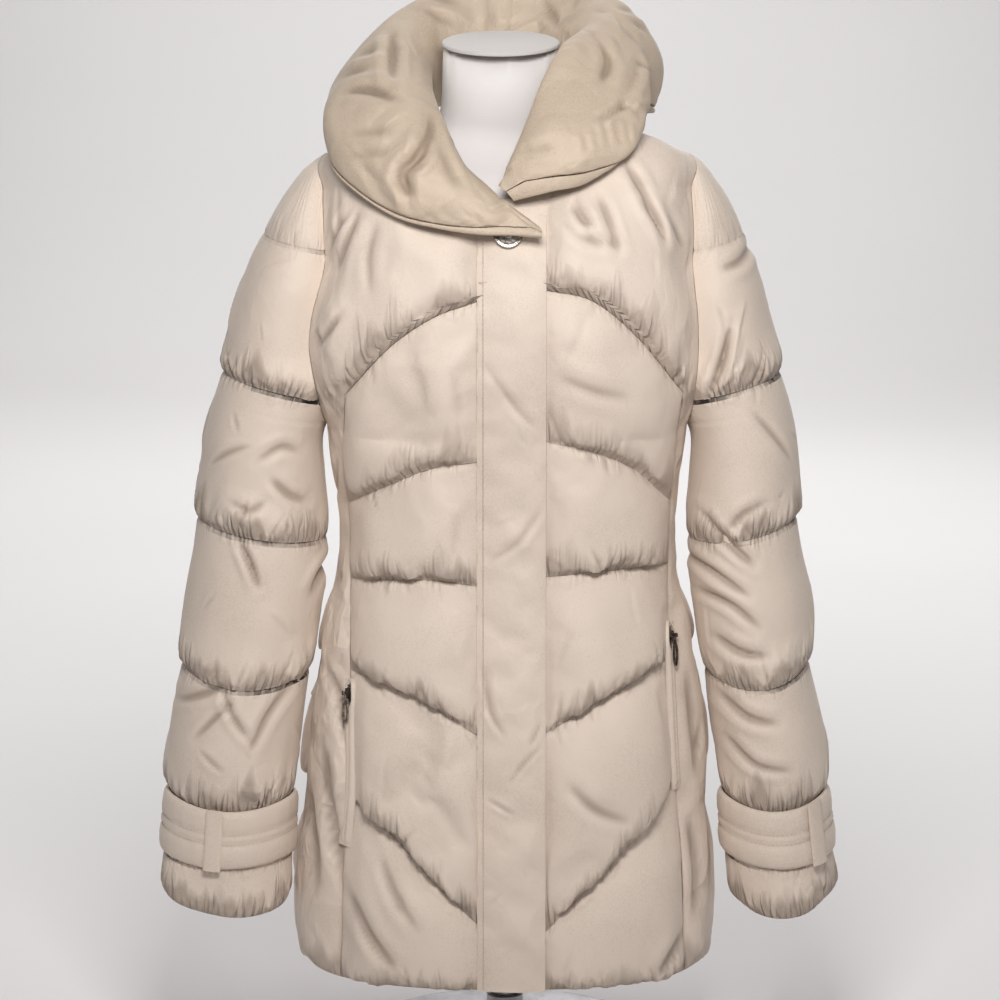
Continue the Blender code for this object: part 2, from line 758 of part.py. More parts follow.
def back_place(row, t):
    """x and height of a grid point of the back, t from -1 to 1 across it."""
    side = LEFT if t > 0 else RIGHT
    share = abs(t)
    if row > CHEST_ROWS:
        band, part = band_of(side, row - CHEST_ROWS)
        levels = [z * MM for z in BACK_CENTRE] + [HEM_Z]
        middle = levels[band] + (levels[band + 1] - levels[band]) * part
        z = middle + (side_rows(side)[row - CHEST_ROWS] - middle) * share ** 1.4
        return side * wrap_x(side, z, 0, share), z
    top = top_z(side, BACK, share * seam_x(side, SHOULDER_Z))
    low = BACK_CENTRE[0] * MM + (Q_CORNER_Z - BACK_CENTRE[0] * MM) * share ** 1.4
    even, bunched = (row / CHEST_ROWS) ** 1.3, (row / CHEST_ROWS) ** CHEST_CURVE
    z = top + (low - top) * (even + (bunched - even) * ease(0.2, 0.55, share))
    if row == 0:
        return side * share * seam_x(side, SHOULDER_Z), z
    return side * wrap_x(side, z, 0, share), z


def back():
    """The whole back in one piece, quilted in points like the fronts."""
    steps = sorted({s * sign for s in BACK_STEPS for sign in (-1, 1)})
    rows = CHEST_ROWS + SIDE_ROW_COUNT
    quilt_rows = [CHEST_ROWS] + list(range(CHEST_ROWS + 8, rows, len(BAND_STEPS)))
    lines = [[torso(x, BACK, z)[0] for x, z in (back_place(row, k / 24) for k in range(-24, 25))]
             for row in [0] + quilt_rows]
    for side in (RIGHT, LEFT):
        heights = [ARMPIT_Z + (HEM_Z - ARMPIT_Z) * k / 30 for k in range(31)]
        lines.append([torso(side * seam_x(side, z), BACK, z)[0] for z in heights])
    seams = Seams(lines)
    armhole = Seams([armhole_line(RIGHT, BACK), armhole_line(LEFT, BACK)])
    keep_rows = KEEP_CHEST[:-1] + [CHEST_ROWS + k for k in KEEP_SIDE]
    keep_cols = [0] + list(range(1, len(steps) - 1, 2)) + [len(steps) - 1]
    outer, inner = {}, {}
    for row in range(rows):
        for col, t in enumerate(steps):
            x, z = back_place(row, t)
            point, out = torso(x, BACK, z)
            side = LEFT if x > 0 else RIGHT
            height = PANEL_PUFF * puffed(seams.distance(point)) * ease(0, ARMHOLE_REACH, armhole.distance(point))
            height *= 1 - (1 - pressed(side, z)) * ease(0.55, 0.9, abs(t))
            point.y = max(point.y, SEAM_GAP / 2)
            outer[row, col] = point + out * height
            if row in keep_rows and col in keep_cols:
                inner[row, col] = point - out * CLOTH
    return wall("back", outer, inner, keep_rows, keep_cols, "shell")


def placket():
    """The padded strip over the front zip: sewn along the wearer's right, free along the left."""
    steps = (0, 0.12, 0.4, 0.7, 0.92, 1)
    count = 30
    outer, inner = {}, {}
    keep_rows = list(range(count + 1))
    keep_cols = [0, 2, 3, 5]
    for r in range(count + 1):
        z = PLACKET_TOP + (HEM_Z - PLACKET_TOP) * r / count
        for c, t in enumerate(steps):
            x = PLACKET[RIGHT] + SEAM_GAP / 2 + (PLACKET[LEFT] - PLACKET[RIGHT] - 1 * MM) * t
            point, out = torso(x, FRONT, z)
            thick = PLACKET_THICK * (0.3 + 0.7 * dome(t, 0.35)) * (0.75 + 0.25 * dome(1 - t, 0.2))
            outer[r, c] = point + out * (PLACKET_OVER + thick)
            if r in keep_rows and c in keep_cols:
                inner[r, c] = point + out * PLACKET_OVER
    return wall("placket", outer, inner, keep_rows, keep_cols, "shell")


# ---------------------------------------------------------------- sleeves
SLEEVE_STEPS = 20


def sleeve_seam_z(seam, turn):
    """Height of a cross seam, turn in radians from the sleeve's inner side over its front."""
    _, low, high, sag = SLEEVE_SEAMS[seam]
    return (low + (high - low) * (1 - math.cos(turn)) / 2 - sag * math.sin(turn) ** 2) * MM


def sleeve_point(side, z, turn):
    """Point of the sleeve's base surface, and the outward direction there."""
    def at(height, angle):
        middle, half, deep, forward = sleeve_section(side, height)
        if math.sin(angle) < 0:
            deep *= depth(BACK, height) / depth(FRONT, height)
        return Vector((side * (middle - half * math.cos(angle)), -deep * math.sin(angle) - forward, height))

    step = 0.5 * MM
    around = at(z, turn + 0.01) - at(z, turn - 0.01)
    upward = at(min(z + step, SHOULDER_Z), turn) - at(z - step, turn)
    out = around.cross(upward) * side
    return at(z, turn), out.normalized()


def sleeve_rows():
    """Rows from the shoulder to the cuff: height on the inner side, rise to the outer side, and sag."""
    names = {row[0]: row for row in SLEEVE_SEAMS}
    rises = ((627, 23), (655, 23), (800, 12), (888, 0))
    rows = []
    for z in ARMHOLE:
        rows.append((z, smooth(rises, 1, z), 0))
    order = [("armpit", ARMPIT_Z / MM, ARMPIT_Z / MM + 23, 0)]
    order += [names[name] for name in ("elbow", "forearm", "strap_top", "strap_bottom", "cuff")]
    steps = {"strap_top": BAND_STEPS, "strap_bottom": (0, 0.5), "cuff": (0, 0.3, 0.8)}
    for above, below in zip(order, order[1:]):
        for share in steps.get(below[0], BAND_STEPS):
            low, high, sag = (a + (b - a) * share for a, b in zip(above[1:], below[1:]))
            rows.append((low * MM, (high - low) * MM, sag * MM))
    last = order[-1]
    rows.append((last[1] * MM, (last[2] - last[1]) * MM, last[3] * MM))
    pit = len(ARMHOLE) - 1
    del rows[pit]
    return rows


def sleeve_grid_point(side, row, step, rows):
    """Height and turn of a grid point: open arcs down to the armpit, closed rings below it."""
    edge_z, rise, sag = rows[row]
    start = 0
    if edge_z > ARMPIT_Z + 0.1 * MM:
        middle, half, _, _ = sleeve_section(side, edge_z)
        edge = seam_x(side, edge_z) + SEAM_GAP
        start = math.acos(min(max((middle - edge) / half, -1), 1))
    turn = start + (2 * math.pi - 2 * start) * step / SLEEVE_STEPS
    lift = (math.cos(start) - math.cos(turn)) / (1 + math.cos(start)) if start else (1 - math.cos(turn)) / 2
    return min(edge_z + rise * lift - sag * math.sin(turn) ** 2, SHOULDER_Z - 0.2 * MM), turn


def sleeve_padding(side, point, z, turn, seams, armhole):
    """How far the padding lifts the outer skin."""
    strap = sleeve_seam_z(5, turn) + 1 * MM > z > sleeve_seam_z(6, turn) - 1 * MM
    if strap:
        return 0
    inward = ease(0.2, 0.9, math.cos(turn)) * ease(690 * MM, 650 * MM, -z) if z < 690 * MM else 0
    full = SLEEVE_PUFF + (SLEEVE_PUFF_INSIDE - SLEEVE_PUFF) * inward
    return full * puffed(seams.distance(point)) * ease(0, ARMHOLE_REACH, armhole.distance(point))


def sleeve(side):
    name = "sleeve_right" if side == RIGHT else "sleeve_left"
    rows = sleeve_rows()
    pit = len(ARMHOLE) - 1
    turns = [2 * math.pi * k / 48 for k in range(49)]
    lines = [[sleeve_point(side, sleeve_seam_z(seam, turn), turn)[0] for turn in turns]
             for seam in range(3, len(SLEEVE_SEAMS))]
    for seam in (1, 2):
        arc = []
        for turn in turns:
            z = sleeve_seam_z(seam, turn)
            point = sleeve_point(side, z, turn)[0]
            if abs(point.x) > seam_x(side, z):
                arc.append(point)
        lines.append(arc)
    seams = Seams(lines)
    armhole = Seams([[Vector((side * seam_x(side, z), facing * armhole_reach(side, z), z)) for z in ARMHOLE]
                     for facing in (FRONT, BACK)])
    keep_rows = KEEP_CHEST + [11] + sorted(set(range(pit, len(rows), 3)) | {len(rows) - 1})
    keep_cols = list(range(0, SLEEVE_STEPS + 1, 2))
    outer, inner = {}, {}
    for row in range(len(rows)):
        for step in range(SLEEVE_STEPS + 1):
            if row == 0:
                point = Vector((side * (seam_x(side, SHOULDER_Z) + SEAM_GAP), 0, SHOULDER_Z))
                out = Vector((side * SHOULDER_SLOPE, 0, 1)).normalized()
                lift = 0
            else:
                z, turn = sleeve_grid_point(side, row, step, rows)
                point, out = sleeve_point(side, z, turn)
                lift = sleeve_padding(side, point, z, turn, seams, armhole)
            outer[row, step] = point + out * lift
            if row in keep_rows and step in keep_cols:
                inner[row, step] = point - out * CLOTH

    def same(key):
        row, step = key
        if row == 0:
            return 0, 0
        return (row, 0) if step == SLEEVE_STEPS and row >= pit else key

    return wall(name, outer, inner, keep_rows, keep_cols, "shell", same)


def strap_point(side, share, turn, lift):
    """A point of the cuff strap: share 0 at its top and 1 at its bottom, lift above the sleeve."""
    z = sleeve_seam_z(5, turn) * (1 - share) + sleeve_seam_z(6, turn) * share
    point, out = sleeve_point(side, z, turn)
    return point + out * lift


def strap(side):
    """The padded strap round the cuff, a closed ring."""
    name = "cuff_strap_right" if side == RIGHT else "cuff_strap_left"
    shares = (0, 0.15, 0.5, 0.85, 1)
    puffs = (0.5, 1, 1.15, 1, 0.5)
    sides = SLEEVE_STEPS
    points, faces = [], []
    profile = [(s, SEAM_GAP + 0.2 * MM + STRAP_THICK * p) for s, p in zip(shares, puffs)]
    profile += [(1, SEAM_GAP + 0.2 * MM), (0, SEAM_GAP + 0.2 * MM)]
    for k in range(sides):
        for share, lift in profile:
            points.append(strap_point(side, share, 2 * math.pi * k / sides, lift))
    count = len(profile)
    for k in range(sides):
        for j in range(count):
            a, b = k * count + j, k * count + (j + 1) % count
            c, d = (k + 1) % sides * count + (j + 1) % count, (k + 1) % sides * count + j
            faces.append([a, b, c, d])
    return solid(name, points, faces, "shell")


def belt_loop(side):
    """The narrow loop sewn over the strap, made from the strap's own points."""
    name = "belt_loop_right" if side == RIGHT else "belt_loop_left"
    middle = math.radians(LOOP_TURN[side])
    radius = sleeve_section(side, 240 * MM)[1]
    half = LOOP_WIDE / 2 / radius
    rest = SEAM_GAP * 2 + STRAP_THICK * 1.15 + 0.3 * MM
    shares = (-0.03, 0.25, 0.5, 0.75, 1.03)
    rings = []
    for share in shares:
        ring = [strap_point(side, share, middle + half * t, rest + LOOP_THICK) for t in (-1, 0, 1)]
        ring += [strap_point(side, share, middle + half * t, rest) for t in (1, 0, -1)]
        rings.append(ring)
    return loft(name, rings, "shell")


# ---------------------------------------------------------------- collar
def collar_point(u, v):
    """Point of the collar's middle surface: u round the neck, v from the neckline to the free edge."""
    guides = [spline([Vector(section[g]) * MM for section in COLLAR], u) for g in range(5)]
    return spline(guides, v)


def collar_out(u, v):
    """The direction away from the neck side of the collar, over the top to its visible face."""
    step = 0.004
    along = collar_point(min(u + step, 1), v) - collar_point(max(u - step, 0), v)
    across = collar_point(u, min(v + step, 1)) - collar_point(u, max(v - step, 0))
    return along.cross(across).normalized()


def band_start(u):
    """Where the band along the free edge begins, as a share of the way from the neckline."""
    path = [collar_point(u, k / 12) for k in range(13)]
    length = sum((b - a).length for a, b in zip(path, path[1:]))
    wide = BAND_WIDE[RIGHT] + (BAND_WIDE[LEFT] - BAND_WIDE[RIGHT]) * ease(0.6, 0.75, u)
    return 1 - min(wide / length, 0.3)


def collar_thickness(u, v):
    ends = dome(min(u, 1 - u), 0.22)
    return COLLAR_THIN + (COLLAR_THICK - COLLAR_THIN) * ends * dome(min(v, 1 - v), 0.3)


def collar():
    """The pillow collar, sewn to the neckline and turned over all round."""
    steps = 12
    outer, inner = {}, {}
    keep_rows, keep_cols = list(range(COLLAR_ROWS + 1)), list(range(0, steps + 1, 3))
    for row in range(COLLAR_ROWS + 1):
        u = row / COLLAR_ROWS
        end = band_start(u) - 0.008
        for col in range(steps + 1):
            v = col / steps
            point, out = collar_point(u, v * end), collar_out(u, v * end)
            half = collar_thickness(u, v) / 2
            outer[row, col] = point + out * half
            if col in keep_cols:
                inner[row, col] = point - out * half
    return wall("collar", outer, inner, keep_rows, keep_cols, "collar")


def collar_band():
    """The narrow band along the collar's free edge."""
    rings = []
    for row in range(COLLAR_ROWS + 1):
        u = row / COLLAR_ROWS
        start = band_start(u) + 0.008
        half = BAND_THICK / 2
        profile = ((0, 1), (0.5, 1.1), (1, 0.6), (1, -0.6), (0.5, -1), (0, -1))
        ring = []
        for share, side in profile:
            v = start + (1 - start) * share
            ring.append(collar_point(u, v) + collar_out(u, v) * half * side)
        rings.append(ring)
    return loft("collar_band", rings, "collar")


# ---------------------------------------------------------------- hardware
def button():
    centre, out = torso(BUTTON_AT.x, FRONT, BUTTON_AT.z)
    centre = centre + out * (PLACKET_OVER + PLACKET_THICK + 1 * MM)
    r, h = BUTTON_RADIUS, BUTTON_DOME
    profile = [(0, 0), (0.9 * r, 0), (r, 0.25 * h), (r, 0.42 * h), (0.86 * r, 0.55 * h), (0.66 * r, 0.8 * h),
               (0.4 * r, 0.94 * h), (0.15 * r, h), (0, h)]
    return turned("throat_button", profile, centre, out, 24, "silver")


def zip_frame(side, z):
    """Origin on the long seam, outward direction, level direction and the way down the cloth."""
    point, out = torso(side * long_seam_x(side, z), FRONT, z)
    below = torso(side * long_seam_x(side, z - 20 * MM), FRONT, z - 20 * MM)[0]
    down = (below - point).normalized()
    level = down.cross(out).normalized()
    return point, out, level, down


def block(name, frame, size, centre, finish):
    """A box with softened corners in a frame of level, down and outward directions."""
    origin, out, level, down = frame
    wide, long, deep = (value / 2 for value in size)
    rings = []
    for along, trim in ((-long, 0.75), (-long * 0.85, 1), (long * 0.85, 1), (long, 0.75)):
        ring = []
        for x, y in ((-1, -1), (1, -1), (1, 0.5), (0.6, 1), (-0.6, 1), (-1, 0.5)):
            place = origin + level * (centre[0] + x * wide * trim) + down * (centre[1] + along)
            ring.append(place + out * (centre[2] + y * deep))
        rings.append(ring)
    return loft(name, rings, finish)


def zip_chain(side):
    """The closed chain of the pocket zip, lying in the long seam."""
    name = "zip_chain_right" if side == RIGHT else "zip_chain_left"
    rings = []
    count = 12
    for k in range(count + 1):
        z = POCKET_TOP[side] - POCKET_LENGTH * k / count
        point, out, level, _ = zip_frame(side, z)
        low, high = point + out * 0.9 * MM, point + out * 1.9 * MM
        half = level * 2.2 * MM
        rings.append([low - half, low + half, high + half * 0.7, high - half * 0.7])
    return loft(name, rings, "zip")


def slider_height(side):
    return POCKET_TOP[side] - 9 * MM


def zip_slider(side):
    """The slider: a plate over the chain with two ears and the pin that carries the pull."""
    name = "zip_slider_right" if side == RIGHT else "zip_slider_left"
    frame = zip_frame(side, slider_height(side))
    plate = block(name, frame, (7 * MM, 10 * MM, 1.6 * MM), (0, 0, 3.1 * MM), "zip")
    ears = []
    for k in (-1, 1):
        centre = (k * 2.7 * MM, 0, 5.7 * MM)
        ears.append(block(f"{name}_ear_{k + 1}", frame, (1.2 * MM, 4 * MM, 4.6 * MM), centre, "zip"))
    origin, out, level, _ = frame
    half = 2.8 * MM
    pin_profile = [(0, -half), (PIN_RADIUS, -half), (PIN_RADIUS, half), (0, half)]
    pin = turned(f"{name}_pin", pin_profile, origin + out * PIN_OUT, level, 10, "zip")
    union(plate, ears + [pin])
    return plate


def zip_pull(side):
    """The pull tab: an eye round the slider's pin, a short neck and an open oval."""
    name = "zip_pull_right" if side == RIGHT else "zip_pull_left"
    origin, out, level, down = zip_frame(side, slider_height(side))
    pivot = origin + out * PIN_OUT
    hole = PIN_RADIUS + 0.35 * MM
    sides = 14
    rings = []
    for radius, half in ((hole, EYE_HALF), (EYE_RADIUS, EYE_HALF), (EYE_RADIUS, -EYE_HALF), (hole, -EYE_HALF)):
        rings.append([Vector((half, radius * math.sin(2 * math.pi * k / sides),
                              -radius * math.cos(2 * math.pi * k / sides))) for k in range(sides)])
    faces = []
    for r in range(4):
        for k in range(sides):
            after, further = (k + 1) % sides, (r + 1) % 4
            faces.append([r * sides + k, r * sides + after, further * sides + after, further * sides + k])
    eye = solid(name, [p for ring in rings for p in ring], faces, "silver" if side == RIGHT else "zip")
    neck_top, neck_low = EYE_RADIUS - 0.5 * MM, 7 * MM
    half_thick = TAB_THICK / 2
    neck = loft(f"{name}_neck", [[Vector((x, y, -z)) for x, y in
                                  ((-1.2 * MM, -half_thick), (1.2 * MM, -half_thick),
                                   (1.2 * MM, half_thick), (-1.2 * MM, half_thick))]
                                 for z in (neck_top, neck_low)], "zip")
    count = 20
    middle = (6 * MM + TAB_LENGTH) / 2
    tall, wide, rim = (TAB_LENGTH - 6 * MM) / 2, TAB_WIDE / 2, 2.2 * MM
    points, faces = [], []
    for k in range(count):
        angle = 2 * math.pi * k / count
        for trim, depth_share in ((0, -1), (0, 1), (rim, 1), (rim, -1)):
            points.append(Vector(((wide - trim) * math.sin(angle), half_thick * depth_share,
                                  -middle + (tall - trim) * math.cos(angle))))
    for k in range(count):
        for j in range(4):
            faces.append([k * 4 + j, k * 4 + (j + 1) % 4, (k + 1) % count * 4 + (j + 1) % 4, (k + 1) % count * 4 + j])
    oval = solid(f"{name}_oval", points, faces, "zip")
    pose = Matrix((-level, -out, -down)).transposed().to_4x4()
    pose.translation = pivot
    for piece in (eye, neck, oval):
        piece.matrix_world = pose
    union(eye, [neck, oval])
    return eye


# ---------------------------------------------------------------- dress form and stand
def form():
    rings = []
    heights = [row[0] for row in FORM]
    levels = []
    for low, high in zip(heights, heights[1:]):
        parts = max(1, round((high - low) / 45))
        levels += [low + (high - low) * k / parts for k in range(parts)]
    levels.append(heights[-1])
    for level in levels:
        z = level * MM
        wide, front, rear = (smooth(FORM, k, z) for k in (1, 2, 3))
        corner = 2 / (2 + 0.3 * (1 - ease(900, 930, level)))
        ring = []
        for k in range(FORM_SIDES):
            angle = 2 * math.pi * k / FORM_SIDES
            s, c = math.sin(angle), math.cos(angle)
            y = (rear if c > 0 else front) * math.copysign(abs(c) ** corner, c)
            x = wide * math.copysign(abs(s) ** corner, s)
            lean = y * math.tan(CAP_TILT) * ease(940, 990, level)
            ring.append(Vector((FORM_X + x, y, z + lean)))
        rings.append(ring)
    return loft("dress_form", rings, "form")


def neck_cap():
    top = FORM[-1]
    axis = Vector((0, -math.sin(CAP_TILT), math.cos(CAP_TILT)))
    centre = Vector((FORM_X, 0, top[0] * MM)) + axis * SEAM_GAP
    wide, deep = top[1] * MM, top[2] * MM
    rings = []
    for share, up in ((1, 0), (1, 0.7), (0.975, 1)):
        ring = []
        for k in range(FORM_SIDES):
            angle = 2 * math.pi * k / FORM_SIDES
            flat = Vector((wide * math.sin(angle), deep * math.cos(angle) * math.cos(CAP_TILT),
                           deep * math.cos(angle) * math.sin(CAP_TILT)))
            ring.append(centre + flat * share + axis * CAP_THICK * up)
        rings.append(ring)
    return loft("neck_cap", rings, "form")


def stand():
    up = Vector((0, 0, 1))
    foot = Vector((0, 0, 0))
    r, t = BASE_RADIUS, BASE_THICK
    plate = [(0, 0), (r, 0), (r, 0.7 * t), (r - 2 * MM, 0.92 * t), (r - 6 * MM, t), (0, t)]
    turned("stand_base", plate, foot, up, 36, "stand")
    flange_low = FORM[0][0] * MM - SEAM_GAP - FLANGE_THICK
    pole_low, pole_high = t + SEAM_GAP, flange_low - SEAM_GAP
    socket = 40 * MM
    pole = [(0, pole_low), (POLE_RADIUS, pole_low), (POLE_RADIUS, pole_high), (0, pole_high)]
    turned("stand_pole", pole, foot, up, 24, "stand")
    gap = POLE_RADIUS + SEAM_GAP
    foot_ring = [(gap, t + SEAM_GAP), (28 * MM, t + SEAM_GAP), (27 * MM, t + 5 * MM), (20 * MM, t + 9 * MM),
                 (18 * MM, t + socket), (gap, t + socket)]
    ring_solid("stand_foot", foot_ring, 24, "stand")
    flange = [(0, flange_low), (FLANGE_RADIUS, flange_low), (FLANGE_RADIUS, flange_low + FLANGE_THICK),
              (0, flange_low + FLANGE_THICK)]
    turned("form_flange", flange, foot, up, 32, "stand")


def ring_solid(name, profile, sides, finish):
    """A ring round the Z axis from a closed profile of (radius, height)."""
    count = len(profile)
    points, faces = [], []
    for k in range(sides):
        angle = 2 * math.pi * k / sides
        points += [Vector((radius * math.cos(angle), radius * math.sin(angle), z)) for radius, z in profile]
    for k in range(sides):
        for j in range(count):
            after, further = (j + 1) % count, (k + 1) % sides
            faces.append([k * count + j, k * count + after, further * count + after, further * count + j])
    return solid(name, points, faces, finish)


def build():
    for old in list(bpy.data.objects):
        bpy.data.objects.remove(old, do_unlink=True)
    form()
    neck_cap()
    stand()
    for side in (RIGHT, LEFT):
        centre_front(side)
        yoke_front(side)
        sleeve(side)
        strap(side)
        belt_loop(side)
        zip_chain(side)
        zip_slider(side)
        zip_pull(side)
    back()
    placket()
    collar()
    collar_band()
    button()


build()
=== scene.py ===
"""Looks for a long puffer coat on a dress form.

The padded panels are cut as fine grids over the same base surfaces as the solids, inflated as cloth that is sewn
down along its seams, creased where the coat is creased, and closed into thin walls.
Tables are in millimetres, functions give metres.
"""

import math

import bmesh
import bpy
import numpy as np
from mathutils import Matrix, Vector
from mathutils.kdtree import KDTree


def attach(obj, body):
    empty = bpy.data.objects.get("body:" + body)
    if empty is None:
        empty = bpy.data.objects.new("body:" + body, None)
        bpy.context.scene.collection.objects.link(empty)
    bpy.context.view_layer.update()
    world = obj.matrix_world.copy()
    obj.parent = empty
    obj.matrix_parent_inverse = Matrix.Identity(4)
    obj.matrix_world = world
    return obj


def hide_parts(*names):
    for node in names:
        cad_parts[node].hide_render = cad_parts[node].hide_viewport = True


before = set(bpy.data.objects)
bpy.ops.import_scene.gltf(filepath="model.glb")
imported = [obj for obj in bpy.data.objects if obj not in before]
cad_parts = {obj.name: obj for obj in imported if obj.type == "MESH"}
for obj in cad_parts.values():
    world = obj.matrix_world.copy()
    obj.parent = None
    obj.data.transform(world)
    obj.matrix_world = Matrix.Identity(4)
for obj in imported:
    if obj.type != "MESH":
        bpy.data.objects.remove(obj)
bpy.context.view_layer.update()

MM = 0.001
RIGHT, LEFT = -1, 1
FRONT, BACK = -1, 1
GRID = 4.6 * MM              # the cloth's grid while it is simulated

# ---------------------------------------------------------------- sizes shared with the solids
HEM_Z = 97 * MM
SHOULDER_Z = 888 * MM
SHOULDER_SLOPE = math.tan(math.radians(20))
ARMPIT_Z = 627 * MM
NECK_X = 82 * MM
NECK_DROP_FRONT = 74 * MM
NECK_RISE_BACK = 8 * MM
CORNER = 2.4
SEAM_GAP = 0.3 * MM
CLOTH = 4 * MM
POCKET_FLAT = 6 * MM
POCKET_TOP = {RIGHT: 385 * MM, LEFT: 437 * MM}
POCKET_LENGTH = 150 * MM
LIP_PAST = 5 * MM            # the lips run this far past each end of the zip
LIP_INNER, LIP_PARTED, LIP_OUTER = 0.25, 4.0, 7.8       # their edges from the seam, and apart at the slider, in mm
PLACKET = {RIGHT: -25 * MM, LEFT: 39 * MM}
PLACKET_TOP = 838 * MM
PLACKET_OVER = 1.2 * MM
PLACKET_THICK = 6 * MM
PLACKET_ROW_IN = 4.5 * MM    # its row of stitching, in from its edge
UNDERLAP = -14 * MM
Q_CORNER_Z = 666 * MM
SLEEVE_CAP_FALL = 23

BODY = (
    # height, right, left, front, back
    (97, 195, 193, 138, 140),
    (133, 199, 197, 141, 142),
    (185, 198, 195, 142, 142),
    (248, 191, 190, 140, 138),
    (310, 187, 189, 135, 132),
    (371, 179, 183, 127, 122),
    (420, 171, 175, 121, 113),
    (461, 165, 168, 115, 106),
    (511, 159, 164, 111, 100),
    (550, 160, 165, 109, 97),
    (590, 166, 169, 111, 98),
    (627, 172, 176, 114, 101),
    (651, 177, 180, 118, 104),
    (683, 183, 183, 122, 107),
    (710, 186, 184, 124, 109),
    (739, 183, 183, 124, 110),
    (765, 176, 180, 121, 110),
    (789, 171, 178, 116, 108),
    (817, 172, 179, 109, 106),
    (856, 173, 177, 94, 94),
    (888, 171, 176, 76, 78),
    (918, 89, 94, 57, 62),
    (935, 42, 47, 47, 54),
)

SLEEVE = {
    RIGHT: (
        # height, outer, inner, half depth, forward
        (150, 340, 208, 52, 38),
        (205, 334, 208, 50, 36),
        (268, 328, 207, 50, 32),
        (302, 325, 204, 54, 30),
        (345, 320, 198, 56, 26),
        (396, 314, 189, 57, 22),
        (446, 308, 181, 58, 16),
        (500, 300, 174, 60, 10),
        (540, 298, 174, 61, 6),
        (590, 289, 178, 62, 2),
        (612, 287, 177, 63, 0),
        (627, 284, 172.3, 63, 0),
        (655, 278, 158, 64, 0),
        (680, 272, 150, 65, 0),
        (710, 264, 148, 66, 0),
        (739, 256, 146, 66, 0),
        (765, 249, 146, 65, 0),
        (800, 237, 150, 60, 0),
        (840, 217, 158, 48, 0),
        (870, 195, 163, 31, 0),
        (881, 182, 167, 19.5, 0),
        (888, 171.2, 171, 0.1, 0),
    ),
    LEFT: (
        (150, 328, 222, 60, 30),
        (205, 321, 216, 58, 28),
        (268, 313, 213, 57, 24),
        (302, 311, 209, 60, 22),
        (345, 304, 201, 62, 18),
        (396, 296, 194, 63, 14),
        (446, 296, 186, 63, 10),
        (500, 286, 179, 63, 6),
        (540, 283, 179, 63, 3),
        (590, 280, 182, 63, 0),
        (612, 278, 181, 63, 0),
        (627, 276, 176.3, 63, 0),
        (655, 271, 162, 64, 0),
        (680, 265, 154, 65, 0),
        (710, 257, 151, 66, 0),
        (739, 249, 149, 66, 0),
        (765, 243, 150, 65, 0),
        (800, 233, 153, 60, 0),
        (840, 217, 162, 48, 0),
        (870, 197, 168, 31, 0),
        (881, 187, 171, 19.5, 0),
        (888, 176.2, 176, 0.1, 0),
    ),
}

SLEEVE_SEAMS = (
    # name, inner, outer, sag
    ("shoulder", 888, 888, 0),
    ("upper", 800, 812, 0),
    ("biceps", 655, 678, 0),
    ("elbow", 517, 537, 4),
    ("forearm", 388, 396, 14),
    ("strap_top", 268, 272, 11),
    ("strap_bottom", 211, 213, 9),
    ("cuff", 164, 176, 15),
)

QUILT = {
    RIGHT: (
        # placket, third, two thirds, long seam
        (760, 744, 714, 666),
        (606, 599, 580, 557),
        (487, 491, 489, 484),
        (345, 369, 386, 399),
        (163, 204, 248, 277),
    ),
    LEFT: (
        (770, 759, 722, 666),
        (626, 615, 596, 558),
        (496, 498, 499, 496),
        (348, 370, 389, 409),
        (157, 200, 244, 292),
    ),
}

LONG_SEAM = (
    # height, right, left
    (97, 160, 175),
    (160, 157, 173),
    (212, 156, 171),
    (252, 151, 168),
    (300, 148, 164),
    (400, 149, 159),
    (457, 149, 158),
    (534, 150, 159),
    (600, 155, 163),
    (666, 152, 170),
)

BACK_CENTRE = (725, 600, 480, 350, 210)

COLLAR = (
    # base, roll, crown, rim, edge
    ((30, -126, 829), (31, -128, 828), (33, -130, 826), (34, -132, 824), (34, -134, 821)),
    ((5, -117, 846), (3, -120, 848), (8, -124, 841), (10, -131, 832), (8, -134, 823)),
    ((-12, -113, 852), (-9, -116, 855), (-16, -124, 847), (-22, -131, 835), (-26, -134, 824)),
    ((-34, -93, 870), (-35, -100, 880), (-46, -118, 867), (-58, -127, 846), (-64, -128, 829)),
    ((-56, -75, 893), (-52, -80, 904), (-72, -108, 895), (-92, -120, 862), (-101, -117, 838)),
    ((-72, -53, 914), (-66, -52, 930), (-92, -88, 928), (-126, -102, 885), (-136, -100, 858)),
    ((-83, -6, 926), (-74, -20, 952), (-106, -50, 960), (-154, -68, 918), (-160, -70, 880)),
    ((-77, 24, 928), (-74, 18, 974), (-112, -8, 986), (-160, -22, 940), (-161, -30, 907)),
    ((-52, 43, 930), (-58, 54, 1002), (-88, 56, 1022), (-134, 58, 968), (-144, 50, 910)),
    ((-2, 57, 933), (0, 70, 1000), (4, 96, 1050), (4, 140, 1000), (4, 128, 938)),
    ((50, 44, 934), (56, 54, 1004), (100, 54, 1028), (136, 62, 978), (132, 60, 922)),
    ((77, 24, 930), (72, 16, 992), (104, 8, 1004), (133, -6, 964), (131, -10, 929)),
    ((84, -6, 929), (58, -30, 986), (88, -38, 974), (129, -52, 938), (124, -56, 916)),
    ((74, -50, 918), (40, -60, 958), (72, -78, 940), (112, -90, 904), (105, -91, 890)),
    ((54, -77, 893), (25, -80, 920), (43, -97, 920), (74, -109, 893), (75, -108, 869)),
    ((30, -93, 873), (11, -94, 888), (18, -105, 893), (40, -115, 878), (43, -116, 862)),
    ((8, -98, 857), (-1, -99, 864), (-4, -105, 865), (3, -110, 860), (9, -110, 853)),
)
COLLAR_THICK = 13 * MM
COLLAR_THIN = 5 * MM
BAND_WIDE = {RIGHT: 7 * MM, LEFT: 18 * MM}
